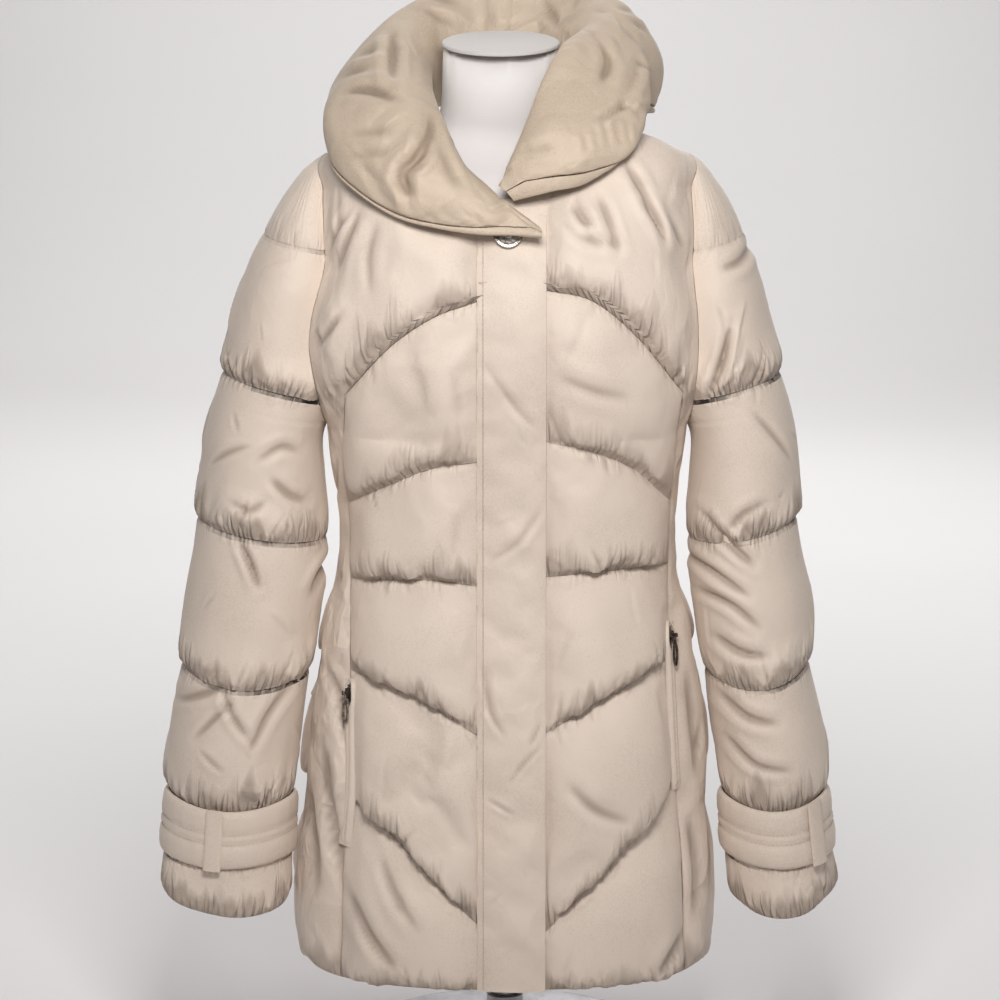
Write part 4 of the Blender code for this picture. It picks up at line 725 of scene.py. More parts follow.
class Panel:
    """A grid of points that is inflated as cloth and then closed into a thin wall.

    base and out are the surface it is sewn on, high is how far it stands out, pinned marks sewn points and far is the
    distance to the nearest seam. keep marks the grid points that exist. From the row ring on, the first and the last
    column are one. growth, pressure and calm are the cloth's extra width, its pressure and how often its heights are
    evened out. folds, pucker and sewn say which loose folds it has, and which puckers at which sewn rows. drawn is the
    place along the seams and the way to the seam below and above, where the finish draws gathers and paints shade;
    pull is how hard the cloth is gathered there and how dark the painted shade is, and crumple how creased it is all
    over.
    """

    def __init__(self, name, base, out, high, pinned, far, keep=None, ring=None, growth=0.05,
                 slot="shell_fabric", finish="shell", cloth=CLOTH, fill=0.55, pressure=1.6, sink=0.8, calm=0,
                 folds=(), pucker=(9, (12, 36), 4.5), sewn=(), drawn=None, pull=1.0, crumple=0.15):
        self.name, self.base, self.out, self.high = name, base, out, high
        self.pinned, self.far = pinned, far
        self.keep = np.ones(high.shape, bool) if keep is None else keep
        self.ring, self.growth, self.slot, self.finish = ring, growth, slot, finish
        self.cloth_thick, self.fill, self.pressure, self.sink = cloth, fill, pressure, sink
        self.calm, self.folds, self.pucker, self.sewn = calm, folds, pucker, sewn
        none = np.full(high.shape, 1.0)
        self.droops = drawn is not None
        place, below, above = drawn or (none, none, none)
        # What the finish reads: where the gathers and their painted shade fall, how hard they are, and the crumple.
        self.relief_and_shade = np.stack([place, below, above, pull * none, crumple * none], -1)
        self.under, self.under_step = None, 10
        self.points = base + out * high[..., None]

    def same(self, row, col):
        last = self.high.shape[1] - 1
        return (row, 0) if self.ring is not None and row >= self.ring and col == last else (row, col)

    def cells(self):
        whole = self.keep[:-1, :-1] & self.keep[1:, :-1] & self.keep[:-1, 1:] & self.keep[1:, 1:]
        return np.argwhere(whole)

    def hang(self):
        """Adds the grid as a cloth object, sewn down at its pinned points."""
        number, points, faces = {}, [], []
        self.where = []
        for r, c in self.cells():
            face = []
            for key in ((r, c), (r + 1, c), (r + 1, c + 1), (r, c + 1)):
                key = self.same(*key)
                if key not in number:
                    number[key] = len(points)
                    self.where.append(key)
                    points.append(self.points[key])
                face.append(number[key])
            faces.append(face)
        mesh = bpy.data.meshes.new(self.name + "_cloth")
        mesh.from_pydata(points, [], faces)
        self.cloth = bpy.data.objects.new(self.name + "_cloth", mesh)
        bpy.context.scene.collection.objects.link(self.cloth)
        sewn = self.cloth.vertex_groups.new(name="sewn")
        sewn.add([k for k, key in enumerate(self.where) if self.pinned[key]], 1, "REPLACE")
        cloth = self.cloth.modifiers.new("Cloth", "CLOTH")
        put = cloth.settings
        put.vertex_group_mass = "sewn"
        put.quality = 7
        put.mass = 0.12
        put.tension_stiffness = put.compression_stiffness = 30
        put.shear_stiffness = 12
        put.bending_stiffness = 0.3
        put.tension_damping = put.compression_damping = put.shear_damping = 6
        put.bending_damping = 0.5
        put.air_damping = 3
        put.shrink_min = put.shrink_max = -self.growth
        put.use_pressure = True
        put.uniform_pressure_force = self.pressure
        put.effector_weights.gravity = 0
        cloth.collision_settings.use_collision = False
        cloth.collision_settings.use_self_collision = False
        cloth.point_cache.frame_start = 1
        cloth.point_cache.frame_end = FRAMES

    def take_down(self):
        """Reads the settled cloth back into the grid and limits how far it stands out and slides."""
        graph = bpy.context.evaluated_depsgraph_get()
        settled = self.cloth.evaluated_get(graph).to_mesh()
        found = np.empty(len(settled.vertices) * 3)
        settled.vertices.foreach_get("co", found)
        for key, point in zip(self.where, found.reshape(-1, 3)):
            self.points[key] = point
        if self.ring is not None:
            self.points[self.ring:, -1] = self.points[self.ring:, 0]
        bpy.data.objects.remove(self.cloth, do_unlink=True)
        moved = self.points - self.base
        up = np.sum(moved * self.out, axis=-1)
        side = moved - self.out * up[..., None]
        most = self.high * 1.35 + 1.2 * MM
        up = np.where(up > 0, most * np.tanh(up / most), np.maximum(up, -0.5 * MM))
        for _ in range(self.calm):
            around = np.pad(up, 1, mode="edge")
            mean = (around[:-2, 1:-1] + around[2:, 1:-1] + around[1:-1, :-2] + around[1:-1, 2:]) / 4
            up = np.where(self.pinned, up, 0.4 * up + 0.6 * mean)
        slide = np.linalg.norm(side, axis=-1)
        limit = np.minimum(9 * MM, 0.45 * self.far)
        side *= np.minimum(1, limit / np.maximum(slide, 1e-9))[..., None]
        self.points = np.where(self.pinned[..., None], self.points, self.base + side + self.out * up[..., None])
        if self.droops:
            self.droop()

    def droop(self):
        """Lets the filling sag over the seam below, unevenly along it."""
        place, below = self.relief_and_shade[..., 0], self.relief_and_shade[..., 1]
        along_it = np.stack([place, self.base[..., 2] * 0.4, place * 0], -1)
        reach = (SAG_REACH + SAG_REACH_SPREAD * ripple(along_it, 38 * MM, 81)) * MM
        share = below / reach
        sag = share * np.exp(1 - np.clip(share, 0, 6) ** 1.5) * np.clip(1 + 0.5 * ripple(along_it, 24 * MM, 83), 0.2, 2)
        sag *= ease(0, 9 * MM, self.far) * np.clip(self.high / (10 * MM), 0.3, 1)
        down = np.gradient(self.base, axis=0)
        down = unit(down - self.out * np.sum(down * self.out, axis=-1)[..., None])
        low = 1 - ease(0.42, 0.65, self.base[..., 2])
        deep = SAG_SLEEVE if self.ring is not None else (SAG_HIGH + SAG_LOW_MORE * low) * MM
        self.points = self.points + np.where(self.pinned, 0, deep * sag)[..., None] * down


def inflate(panels):
    """Runs the cloth of all panels together."""
    for panel in panels:
        panel.hang()
    scene = bpy.context.scene
    scene.frame_start, scene.frame_end = 1, FRAMES
    for step in range(1, FRAMES + 1):
        scene.frame_set(step)
    for panel in panels:
        panel.take_down()
    scene.frame_set(1)


def finer(values):
    """Twice as many rows, on smooth curves through the given ones."""
    count = len(values)
    near = [values[np.clip(np.arange(count - 1) + k, 0, count - 1)] for k in (-1, 0, 1, 2)]
    made = np.empty((2 * count - 1, *values.shape[1:]))
    made[::2] = values
    made[1::2] = four_point(*near, 0.5)
    return made


def finer_plain(values):
    """A grid with twice as many rows and columns, halfway between the given ones."""
    rows = np.repeat(values, 2, 0)[:-1]
    rows[1::2] = (values[:-1] + values[1:]) / 2
    made = np.repeat(rows, 2, 1)[:, :-1]
    made[:, 1::2] = (rows[:, :-1] + rows[:, 1:]) / 2
    return made


def finer_grid(values):
    return np.swapaxes(finer(np.swapaxes(finer(values), 0, 1)), 0, 1)


def new_object(name, points, faces, sharp=62):
    """A new mesh object with its faces turned outwards, smooth but for its sharp edges."""
    mesh = bpy.data.meshes.new(name)
    mesh.from_pydata(points, [], faces)
    body = bmesh.new()
    body.from_mesh(mesh)
    bmesh.ops.recalc_face_normals(body, faces=body.faces)
    body.to_mesh(mesh)
    body.free()
    mesh.shade_smooth()
    mesh.set_sharp_from_angle(angle=math.radians(sharp))
    made = bpy.data.objects.new(name, mesh)
    bpy.context.scene.collection.objects.link(made)
    return made


def wall(name, outer, inner, cells, steps, same, relief_and_shade):
    """A closed wall: a fine outer grid, a plain inner one at some rows and columns, and rims between.

    The last argument holds what the finish reads at each outer point, for its relief and its painted shade: the place
    along the seams, the way to the seam below and to the one above, how hard the cloth is drawn in there, how much it
    is crumpled, and how deep in a fold it lies, which sets the painted shade in the fold.
    """
    points, faces, outside, inside, marks = [], [], {}, {}, []

    def point_number(book, source, key):
        key = same(*key)
        if key not in book:
            book[key] = len(points)
            points.append(source[key])
            marks.append(relief_and_shade[key] if source is outer else (1, 1, 1, 0, 0, 0))
        return book[key]

    def face(book, source, corners, flip):
        ring = list(dict.fromkeys(point_number(book, source, corner) for corner in corners))
        if len(ring) > 2:
            faces.append(ring[::-1] if flip else ring)

    for r, c in np.argwhere(cells):
        face(outside, outer, ((r, c), (r + 1, c), (r + 1, c + 1), (r, c + 1)), False)
    edges = {(a, b) for ring in faces for a, b in zip(ring, ring[1:] + ring[:1])}
    follow = {a: b for a, b in edges if (b, a) not in edges}
    for r0, r1 in zip(steps[0], steps[0][1:]):
        for c0, c1 in zip(steps[1], steps[1][1:]):
            if cells[r0:r1, c0:c1].all():
                face(inside, inner, ((r0, c0), (r1, c0), (r1, c1), (r0, c1)), True)
    twin = {outside[key]: inside[key] for key in inside if key in outside}
    while follow:
        start = next(v for v in follow if v in twin)
        here = start
        while True:
            chain = [here]
            while chain[-1] not in twin or len(chain) == 1:
                chain.append(follow.pop(chain[-1]))
            first, last = twin[chain[0]], twin[chain[-1]]
            middle = (len(chain) - 1) // 2
            for k, (a, b) in enumerate(zip(chain, chain[1:])):
                faces.append([b, a, first if k < middle else last])
            faces.append([chain[middle], first, last])
            here = chain[-1]
            if here == start:
                break
    made = new_object(name, points, faces)
    marks = np.array(marks, float)
    made.data.attributes.new("gathered", "FLOAT_VECTOR", "POINT").data.foreach_set("vector", marks[:, :3].ravel())
    for number, mark in ((3, "pull"), (4, "crumple"), (5, "hollow")):
        made.data.attributes.new(mark, "FLOAT", "POINT").data.foreach_set("value", marks[:, number].copy())
    return made


def spread(kept, most):
    """Indices through the kept ones, at most that far apart."""
    kept = sorted(set(kept))
    made = [kept[0]]
    for a, b in zip(kept, kept[1:]):
        parts = max(1, math.ceil((b - a) / most))
        made += [a + round((b - a) * k / parts) for k in range(1, parts + 1)]
    return made


def finish_panel(panel, corner=None):
    """Doubles a settled panel's grid, draws its folds, puckers and creases, and closes it."""
    points, base = finer_grid(panel.points), finer_grid(panel.base)
    out, high = unit(finer_grid(panel.out)), finer_grid(panel.high)
    far = finer_grid(panel.far)
    loose = np.minimum(1, high / (4 * MM)) * ease(0, 12 * MM, far)
    flat, ways = points.reshape(-1, 3), out.reshape(-1, 3)
    lift = np.zeros(len(flat))
    for number, (count, lengths, widths, depths, angles) in enumerate(panel.folds):
        lift += loose_folds(flat, ways, loose.ravel(), count, 31 * number + len(panel.name), lengths, widths, depths,
                            angles) * loose.ravel()
    if panel.pucker:
        every, lengths, depth = panel.pucker
        short = puckers(flat, ways, points.shape[:2], [2 * row for row in panel.sewn], 9 + len(panel.name), every,
                        lengths, depth)
        lift += short * np.minimum(1, (high / (5 * MM)).ravel() + 0.2)
    lift = lift.reshape(far.shape)
    lift[::2, ::2][panel.pinned] *= 0.5
    lift -= panel.sink * MM * np.exp(-(far / STITCH_HALF) ** 2)
    plain = points
    points = points + out * lift[..., None]
    points = crease(panel.name, points, out, base)
    # How deep each point lies in a crease, which the finish paints as shade in the fold.
    hollow = np.clip(-np.sum((points - plain) * out, axis=-1) / HOLLOW_FULL, 0, 1)
    under = base - out * panel.cloth_thick
    if panel.under is not None:
        under = finer_grid(panel.under)
        count, lengths, widths, depths, angles = panel.folds[0]
        folds = loose_folds(under.reshape(-1, 3), -ways, loose.ravel(), count, 77, lengths, widths, depths, angles)
        under = under - out * (folds.reshape(far.shape) * loose)[..., None]
    cells = np.zeros((points.shape[0] - 1, points.shape[1] - 1), bool)
    for r, c in panel.cells():
        cells[2 * r:2 * r + 2, 2 * c:2 * c + 2] = True
    rows, cols = points.shape[0] - 1, points.shape[1] - 1
    row_marks, col_marks = [0, rows], [0, cols]
    if corner:
        row_marks.append(2 * corner[0])
        col_marks.append(2 * corner[1])
    if panel.ring is not None:
        row_marks.append(2 * panel.ring)

    def same(row, col):
        return (row, 0) if panel.ring is not None and row >= 2 * panel.ring and col == cols else (row, col)

    relief_and_shade = np.stack([finer_plain(panel.relief_and_shade[..., k]) for k in range(5)] + [hollow], -1)
    made = wall(panel.name + "_sewn", points, under, cells,
                (spread(row_marks, panel.under_step), spread(col_marks, panel.under_step)), same, relief_and_shade)
    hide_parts(panel.name)
    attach(made, "coat")
    made.data.materials.append(FINISHES[panel.finish])
    return made


# ---------------------------------------------------------------- the coat's panels
def count_for(length):
    return max(2, round(length / GRID))


def level_rows(levels, least=3):
    """Row positions: for each band between two levels, its number and the share of the way down it."""
    bands = []
    for band, (high, low) in enumerate(zip(levels, levels[1:])):
        count = max(least, count_for((high - low) * MM))
        bands += [(band, k / count) for k in range(count)]
    return bands + [(len(levels) - 2, 1.0)]


def front_edge(side):
    """Where a front begins at the placket, and its columns that run on under it, which only the left one has."""
    start = abs(PLACKET[side]) + SEAM_GAP / 2
    return start, np.array([]) if side == RIGHT else np.linspace(UNDERLAP, start, UNDER_COLUMNS + 1)[:-1]


def sewn_down(shape, rows, columns=(0, -1)):
    """Marks a grid's points that are sewn, by rows and columns."""
    pinned = np.zeros(shape, bool)
    pinned[list(rows)] = True
    pinned[:, list(columns)] = True
    return pinned


def seams_around(z, sewn):
    """Heights of the sewn rows above and below each point."""
    marks, rows = np.array(sorted(set(sewn))), np.arange(len(z))
    above = np.searchsorted(marks, rows, side="right") - 1
    below = np.searchsorted(marks, rows, side="left")
    return tuple(z[marks[np.clip(at, 0, len(marks) - 1)]] for at in (above, below))


def uneven(puff, pinned, base, amount, size, seed):
    """Padding that varies over the piece and is nothing at the seams."""
    puff[pinned] = 0
    return puff * (1 + amount * ripple(base, size, seed))


def centre_front(side):
    start, under = front_edge(side)
    cols = count_for(130 * MM)
    t = np.concatenate([np.zeros(len(under)), np.linspace(0, 1, cols + 1)])
    rows = level_rows([r[1] for r in QUILT[side]] + [HEM_Z / MM])
    bands = np.array([r[0] for r in rows])
    share = np.array([r[1] for r in rows])[:, None]
    high = np.array([quilt_z(side, k, t) for k in bands])
    low = np.array([quilt_z(side, k + 1, t) for k in bands])
    z = high + (low - high) * share
    z[0] -= SEAM_GAP / 2
    x = start + (long_seam_x(side, z) - SEAM_GAP / 2 - start) * t
    if len(under):
        x[:, :len(under)] = under
    base, out = torso(side * x, FRONT, z)
    sewn = [r for r in range(len(rows)) if share[r, 0] == 0 or r == len(rows) - 1]
    pinned = sewn_down(z.shape, sewn, (*range(len(under) + 1), -1))
    far = seam_distance([base[r, len(under):] for r in sewn] + [base[:, -1]], base)
    beside = np.minimum(0.8 * (x - start), long_seam_x(side, z) - x)
    above, below = (high - low) * share, (high - low) * (1 - share)
    puff = FRONT_PUFF * hung(above, below, beside) * zip_relief(side, base)
    puff = uneven(puff, pinned, base, 0.10, 70 * MM, 3)
    below[sewn] = 0
    return Panel(named("centre_front", side), base, out, puff, pinned, far, growth=0.015, calm=3, folds=FRONT_FOLDS,
                 sewn=sewn, drawn=(x, below, above), pull=1 - 0.4 * ease(450 * MM, 700 * MM, z), crumple=0.12)


def yoke_front(side):
    start, under = front_edge(side)
    across, beyond = count_for(130 * MM), 12
    t = np.concatenate([np.zeros(len(under)), np.linspace(0, 1, across + 1), 1 + np.arange(1, beyond + 1) / beyond])
    turn = len(under) + across
    chest = count_for(175 * MM)
    below = count_for(Q_CORNER_Z - HEM_Z)
    share = (np.arange(chest + 1) / chest) ** 1.5
    corner_x = float(long_seam_x(side, Q_CORNER_Z)) + SEAM_GAP / 2
    tip = float(seam_x(side, SHOULDER_Z))
    top_x = start + (corner_x - start) * np.minimum(t, 1) + (tip - corner_x) * np.maximum(t - 1, 0)
    if len(under):
        top_x[:len(under)] = under
    top = top_z(side, FRONT, top_x)
    low = np.where(t < 1, quilt_z(side, 0, t) + SEAM_GAP / 2, Q_CORNER_Z)
    z_top = top + (low - top) * share[:, None]
    x_top = np.broadcast_to(top_x, z_top.shape).copy()
    x_top[1:, turn + 1:] = wrap_x(side, z_top[1:, turn + 1:], corner_x, t[turn + 1:] - 1)
    z_low = np.linspace(Q_CORNER_Z, HEM_Z, below + 1)[1:, None] * np.ones(len(t))
    x_low = wrap_x(side, z_low, long_seam_x(side, z_low) + SEAM_GAP / 2, np.clip(t - 1, 0, 1))
    x, z = np.vstack([x_top, x_low]), np.vstack([z_top, z_low])
    keep = np.ones(z.shape, bool)
    keep[chest + 1:, :turn] = False
    base, out = torso(side * x, FRONT, z)
    base[..., 1] = np.minimum(base[..., 1], -SEAM_GAP / 2)
    pinned = sewn_down(z.shape, (0, -1), (-1,))
    pinned[:chest + 1, :len(under) + 1] = True
    pinned[chest, :turn + 1] = True
    pinned[chest:, turn] = True
    neckline, bust, hem = base[0, len(under):], base[chest, len(under):turn + 1], base[-1, turn:]
    long_seam, side_seam = base[chest:, turn], base[chest + 8:, -1]
    full = SIDE_PUFF + CHEST_PUFF * ease(600 * MM, 700 * MM, z)
    far = seam_distance([neckline, bust, long_seam, side_seam, hem], base)
    below, above = seam_distance([bust, hem], base), seam_distance([neckline], base)
    beside = seam_distance([base[:chest + 1, len(under)], long_seam, side_seam], base)
    puff = full * 1.1 * hung(above, below, beside) * pressed(z) * zip_relief(side, base)
    puff *= ease(0, ARMHOLE_FADE, seam_distance([base[:chest + 10, -1]], base))
    puff[:, :len(under)] = 0
    puff = uneven(puff, pinned, base, 0.10, 70 * MM, 5)
    return Panel(named("yoke_side", side), base, out, puff, pinned, far, keep, growth=0.015, calm=3, folds=SIDE_FOLDS,
                 sewn=[chest, len(z) - 1], drawn=(x, below, above), pull=0.8,
                 crumple=0.15 + 0.45 * ease(0.6, 1.2, t)), (chest, turn)


def back_panel():
    half = 44
    t = np.linspace(-1, 1, 2 * half + 1)
    share_t = np.abs(t)
    side = np.where(t > 0, LEFT, RIGHT)
    chest = count_for(190 * MM)
    part = np.arange(chest + 1)[:, None] / chest
    top = top_z(side, BACK, share_t * body_column(side, SHOULDER_Z))
    middle = BACK_CENTRE[0] * MM
    low = middle + (Q_CORNER_Z - middle) * share_t ** 1.4
    even, bunched = part ** 1.25, part ** 1.6
    z = top + (low - top) * (even + (bunched - even) * ease(0.2, 0.55, share_t))
    centre = list(BACK_CENTRE) + [HEM_Z / MM]
    bands = level_rows(centre)
    ends = {s: [r[3] for r in QUILT[s]] + [HEM_Z / MM] for s in (RIGHT, LEFT)}

    def level(k):
        edge = np.where(side == RIGHT, ends[RIGHT][k], ends[LEFT][k])
        return (centre[k] + (edge - centre[k]) * share_t ** 1.4) * MM

    lower = np.array([level(k) + (level(k + 1) - level(k)) * s for k, s in bands])[1:]
    z = np.vstack([z, lower])
    x = np.empty(z.shape)
    for one in (RIGHT, LEFT):
        pick = side == one
        x[:, pick] = one * wrap_x(one, z[:, pick], 0, share_t[pick])
    x[0] = side * share_t * body_column(side, SHOULDER_Z)
    base, out = torso(x, BACK, z)
    base[..., 1] = np.maximum(base[..., 1], SEAM_GAP / 2)
    sewn = [0, chest] + [chest + i for i, (_, s) in enumerate(bands) if s == 0] + [len(z) - 1]
    pinned = sewn_down(z.shape, sewn)
    arm = chest + 9
    sides, armholes = [base[arm:, 0], base[arm:, -1]], [base[:arm + 1, 0], base[:arm + 1, -1]]
    far = seam_distance([base[r] for r in sewn] + sides, base)
    upper, lower = seams_around(z, sewn)
    puff = BACK_PUFF * hung(upper - z, z - lower, seam_distance(sides, base))
    puff *= ease(0, ARMHOLE_FADE, seam_distance(armholes, base))
    puff *= 1 - (1 - pressed(z)) * ease(0.55, 0.9, share_t)
    puff = uneven(puff, pinned, base, 0.10, 80 * MM, 7)
    return Panel("back", base, out, puff, pinned, far, growth=0.018, calm=3, folds=BACK_FOLDS, sewn=sewn,
                 drawn=(x, z - lower, np.where(pinned, 0, upper - z)), pull=0.65, crumple=0.3)


def sleeve_panel(side):
    steps = 84
    cap = [SHOULDER_Z - 88 * MM * (k / 20) ** 1.7 for k in range(20)]
    cap += list(np.linspace(800, 655, 31)[:-1] * MM) + list(np.linspace(655, 627, 7) * MM)
    cap = np.array(cap)
    rises = ((627, 23), (655, 23), (800, 12), (888, 0))
    rows = [(z, float(column(rises, 1, z)), 0.0) for z in cap]
    pit = len(rows) - 1
    levels = [("pit", ARMPIT_Z / MM, ARMPIT_Z / MM + SLEEVE_CAP_FALL, 0), *SLEEVE_SEAMS[3:]]
    sewn = {20, 50}
    strap_rows = []
    for above, below in zip(levels, levels[1:]):
        count = count_for((above[1] - below[1]) * MM)
        for k in range(1, count + 1):
            low, high, sag = (a + (b - a) * k / count for a, b in zip(above[1:], below[1:]))
            rows.append((low * MM, (high - low) * MM, sag * MM))
            if below[0] == "strap_bottom":
                strap_rows.append(len(rows) - 1)
        sewn.add(len(rows) - 1)
    edge = np.array([r[0] for r in rows])[:, None]
    rise = np.array([r[1] for r in rows])[:, None]
    sag = np.array([r[2] for r in rows])[:, None]
    middle, half, _, _ = sleeve_section(side, edge)
    cut = np.clip((middle - seam_x(side, edge) - SEAM_GAP) / half, -1, 1)
    start = np.where(edge > ARMPIT_Z + 0.1 * MM, np.arccos(cut), 0)
    turn = start + (2 * np.pi - 2 * start) * np.arange(steps + 1) / steps
    lift = (np.cos(start) - np.cos(turn)) / np.maximum(1 + np.cos(start), 1e-6)
    z = np.minimum(edge + rise * lift - sag * np.sin(turn) ** 2, SHOULDER_Z - 0.2 * MM)
    base, out = sleeve_surface(side, z, turn)
    cuff = np.zeros(len(z))
    cuff[max(strap_rows):] = np.linspace(0, 1, len(z) - max(strap_rows))
    round_it = np.stack([np.cos(turn), np.sin(turn), turn * 0], -1) * SLEEVE_ROUND
    base = base + out * (cuff[:, None] * 2.6 * MM * (ripple(round_it, 62 * MM, 61 + side) - 0.5))[..., None]
    base[..., 2] += cuff[:, None] ** 2 * 3.4 * MM * ripple(round_it, 80 * MM, 64 + side)
    base[0] = (side * (float(seam_x(side, SHOULDER_Z)) + SEAM_GAP), 0, SHOULDER_Z)
    out[0] = unit(np.array((side * SHOULDER_SLOPE, 0, 1)))
    sewn = sorted(sewn)
    pinned = sewn_down(z.shape, (0, *sewn, *strap_rows, -1), ())
    pinned[:pit + 1, [0, -1]] = True
    far = seam_distance([base[r] for r in sewn], base)
    arm = seam_distance([base[:pit + 1, 0], base[:pit + 1, -1]], base)
    inward = ease(0.2, 0.9, np.cos(turn)) * (1 - ease(650 * MM, 690 * MM, z))
    full = (SLEEVE_PUFF - INNER_SLEEVE_LESS * inward) * MM
    upper, lower = seams_around(z, sewn)
    puff = full * 1.15 * hung(upper - z, z - lower, np.full_like(z, 1.0)) * ease(0, ARMHOLE_FADE, arm)
    puff = uneven(puff, pinned, base, 0.12, 60 * MM, 11 + side)
    return Panel(named("sleeve", side), base, out, puff, pinned, far, ring=pit, growth=0.05, pressure=0.5, calm=1,
                 folds=SLEEVE_FOLDS, pucker=(8, (12, 44), 4.5), sewn=sewn,
                 drawn=(turn * SLEEVE_ROUND, z - lower, np.where(pinned, 0, upper - z)),
                 pull=1 - 0.8 * ease(785 * MM, 800 * MM, z),
                 crumple=0.1 + 0.6 * (1 - ease(14 * MM, 48 * MM, z - lower)))


def collar_panel():
    rows, cols = 150, 44
    u = np.linspace(0, 1, rows + 1)[:, None] * np.ones(cols + 1)
    v = np.linspace(0, 1, cols + 1) * (band_start(u) - BAND_SEAM)
    share = np.linspace(0, 1, cols + 1) * np.ones_like(u)
    middle, out = collar_surface(u, v), collar_out(u, v)
    ends = dome(np.minimum(u, 1 - u), 0.22)
    half = (COLLAR_THIN + (COLLAR_THICK - COLLAR_THIN) * ends * dome(np.minimum(share, 1 - share), 0.3)) / 2
    thin = COLLAR_THIN / 2
    pinned = sewn_down(share.shape, (0, -1))
    base = middle + out * thin
    far = seam_distance([base[:, 0], base[:, -1], base[0], base[-1]], base)
    panel = Panel("collar", base, out, half - thin, pinned, far, growth=0.03, slot="collar_fabric",
                  finish="collar", fill=0.7, pressure=1.0, sink=0, calm=1, folds=COLLAR_FOLDS, pucker=None,
                  crumple=0.5)
    panel.under, panel.under_step = middle - out * half[..., None], 1
    return panel


def placket_panel():
    wide, rows = 14, count_for(PLACKET_TOP - HEM_Z)
    t = np.linspace(0, 1, wide + 1)[None, :]
    z = np.linspace(PLACKET_TOP, HEM_Z, rows + 1)[:, None] * np.ones_like(t)
    x = PLACKET[RIGHT] - 1.6 * MM + (PLACKET[LEFT] - PLACKET[RIGHT] + 1 * MM) * t * np.ones_like(z)
    x += 0.5 * MM * ripple(np.stack([x * 0, x * 0, z], -1), 24 * MM, 23) * (1 - t)
    base, out = torso(x, FRONT, z)
    base = base + out * (0.9 * MM + (PLACKET_OVER - 0.9 * MM) * ease(0, 0.2, t))[..., None]
    thick = PLACKET_THICK * (0.05 + 0.95 * dome(t, 0.6)) * (0.4 + 0.6 * dome(1 - t, 0.25)) * np.ones_like(z)
    pinned = sewn_down(z.shape, (0, -1))
    far = seam_distance([base[:, 0], base[:, -1]], base)
    thick *= 1 + 0.1 * ripple(base, 45 * MM, 21)
    return Panel("placket", base, out, thick, pinned, far, growth=0.012, cloth=0, fill=0.3, pressure=0.5, sink=0,
                 calm=2, folds=PLACKET_FOLDS, pucker=None, crumple=0.25)


def strap_z(share, turns):
    """Height of a line round the cuff, at a share of the way down the strap."""
    return sleeve_seam_z(STRAP_TOP, turns) * (1 - share) + sleeve_seam_z(STRAP_BOTTOM, turns) * share


def ring_on_cuff(side, share, lift, turns):
    """Points round the cuff at a height across the strap, lifted off the sleeve."""
    point, out = sleeve_surface(side, strap_z(share, turns), turns)
    return point + out * (lift * np.ones_like(turns))[..., None]


def closed_tube(name, rings):
    """A closed ring of cloth: rings[j][k] are points, j round the section and k along the way."""
    count, steps = rings.shape[:2]
    points = rings.reshape(-1, 3)
    faces = [[j * steps + k, j * steps + (k + 1) % steps, (j + 1) % count * steps + (k + 1) % steps,
              (j + 1) % count * steps + k] for j in range(count) for k in range(steps)]
    return new_object(name, points, faces)


def cuff_strap(side):
    """The padded strap round a cuff, with its two rows of stitching pressed in."""
    node = named("cuff_strap", side)
    turns = np.arange(300) * 2 * math.pi / 300
    rings = []
    for share, puff in STRAP_SECTION:
        spot = ring_on_cuff(side, share, 0, turns)
        wave = 0.10 * ripple(spot, 26 * MM, 31) + 0.05 * ripple(spot, 9 * MM, 33)
        lift = STRAP_LIFT + STRAP_THICK * puff * (1 + (wave if puff else 0))
        rings.append(ring_on_cuff(side, share, lift, turns))
    made = closed_tube(node + "_sewn", np.array(rings))
    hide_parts(node)
    dress(made, "shell")


def closed_strip(name, rows, sharp):
    """A closed strip: rows[r][k] are points round the section at each step along it."""
    count = rows.shape[1]
    points = rows.reshape(-1, 3)
    faces = [[r * count + k, r * count + (k + 1) % count, (r + 1) * count + (k + 1) % count, (r + 1) * count + k]
             for r in range(len(rows) - 1) for k in range(count)]
    faces += [list(range(count)), [len(points) - 1 - k for k in range(count)]]
    return new_object(name, points, faces, sharp)


def zip_lips(side):
    """The two cloth lips that close over a pocket zip and part round its slider."""
    name = named("zip_lips", side)
    z = np.linspace(POCKET_TOP[side] + LIP_PAST, POCKET_TOP[side] - POCKET_LENGTH - LIP_PAST, 130)
    seam, out = torso(side * long_seam_x(side, z), FRONT, z)
    down = unit(np.gradient(seam, axis=0))
    level = unit(np.cross(down, out))
    ends = ease(0, 9 * MM, np.minimum(z[0] - z, z - z[-1]))
    parted = 1 - ease(6 * MM, 15 * MM, np.abs(z - slider_height(side)))
    wave = ripple(np.stack([z * 0, z * 0, z], -1), 13 * MM, 71)
    share = np.linspace(0, 1, 9)[:, None]
    lips, wide = [], 0
    for way in (-1, 1):
        inner = (LIP_INNER + LIP_PARTED * parted + 0.1 * wave) * MM
        outer = (LIP_OUTER + 0.3 * np.roll(wave, 20)) * MM
        across = outer + (inner - outer) * share
        rise = (0.7 + 1.75 * ends) * ease(0, 0.75, share)
        lift = (0.45 + rise - 0.3 * ease(0.8, 1, share) + 0.12 * wave * share) * MM
        middle = seam + way * level * across[..., None]
        top = middle + out * (lift + 0.3 * MM)[..., None]
        low = middle + out * (lift - 0.25 * MM)[..., None]
        wide += float(np.mean(np.sum(np.linalg.norm(np.diff(top, axis=0), axis=-1), axis=0)))
        rows = np.swapaxes(np.vstack([top, low[::-1]]), 0, 1)
        lips.append(closed_strip(name + "_lip", rows, 60))
    made = join(lips, name)
    dress(made, "shell")


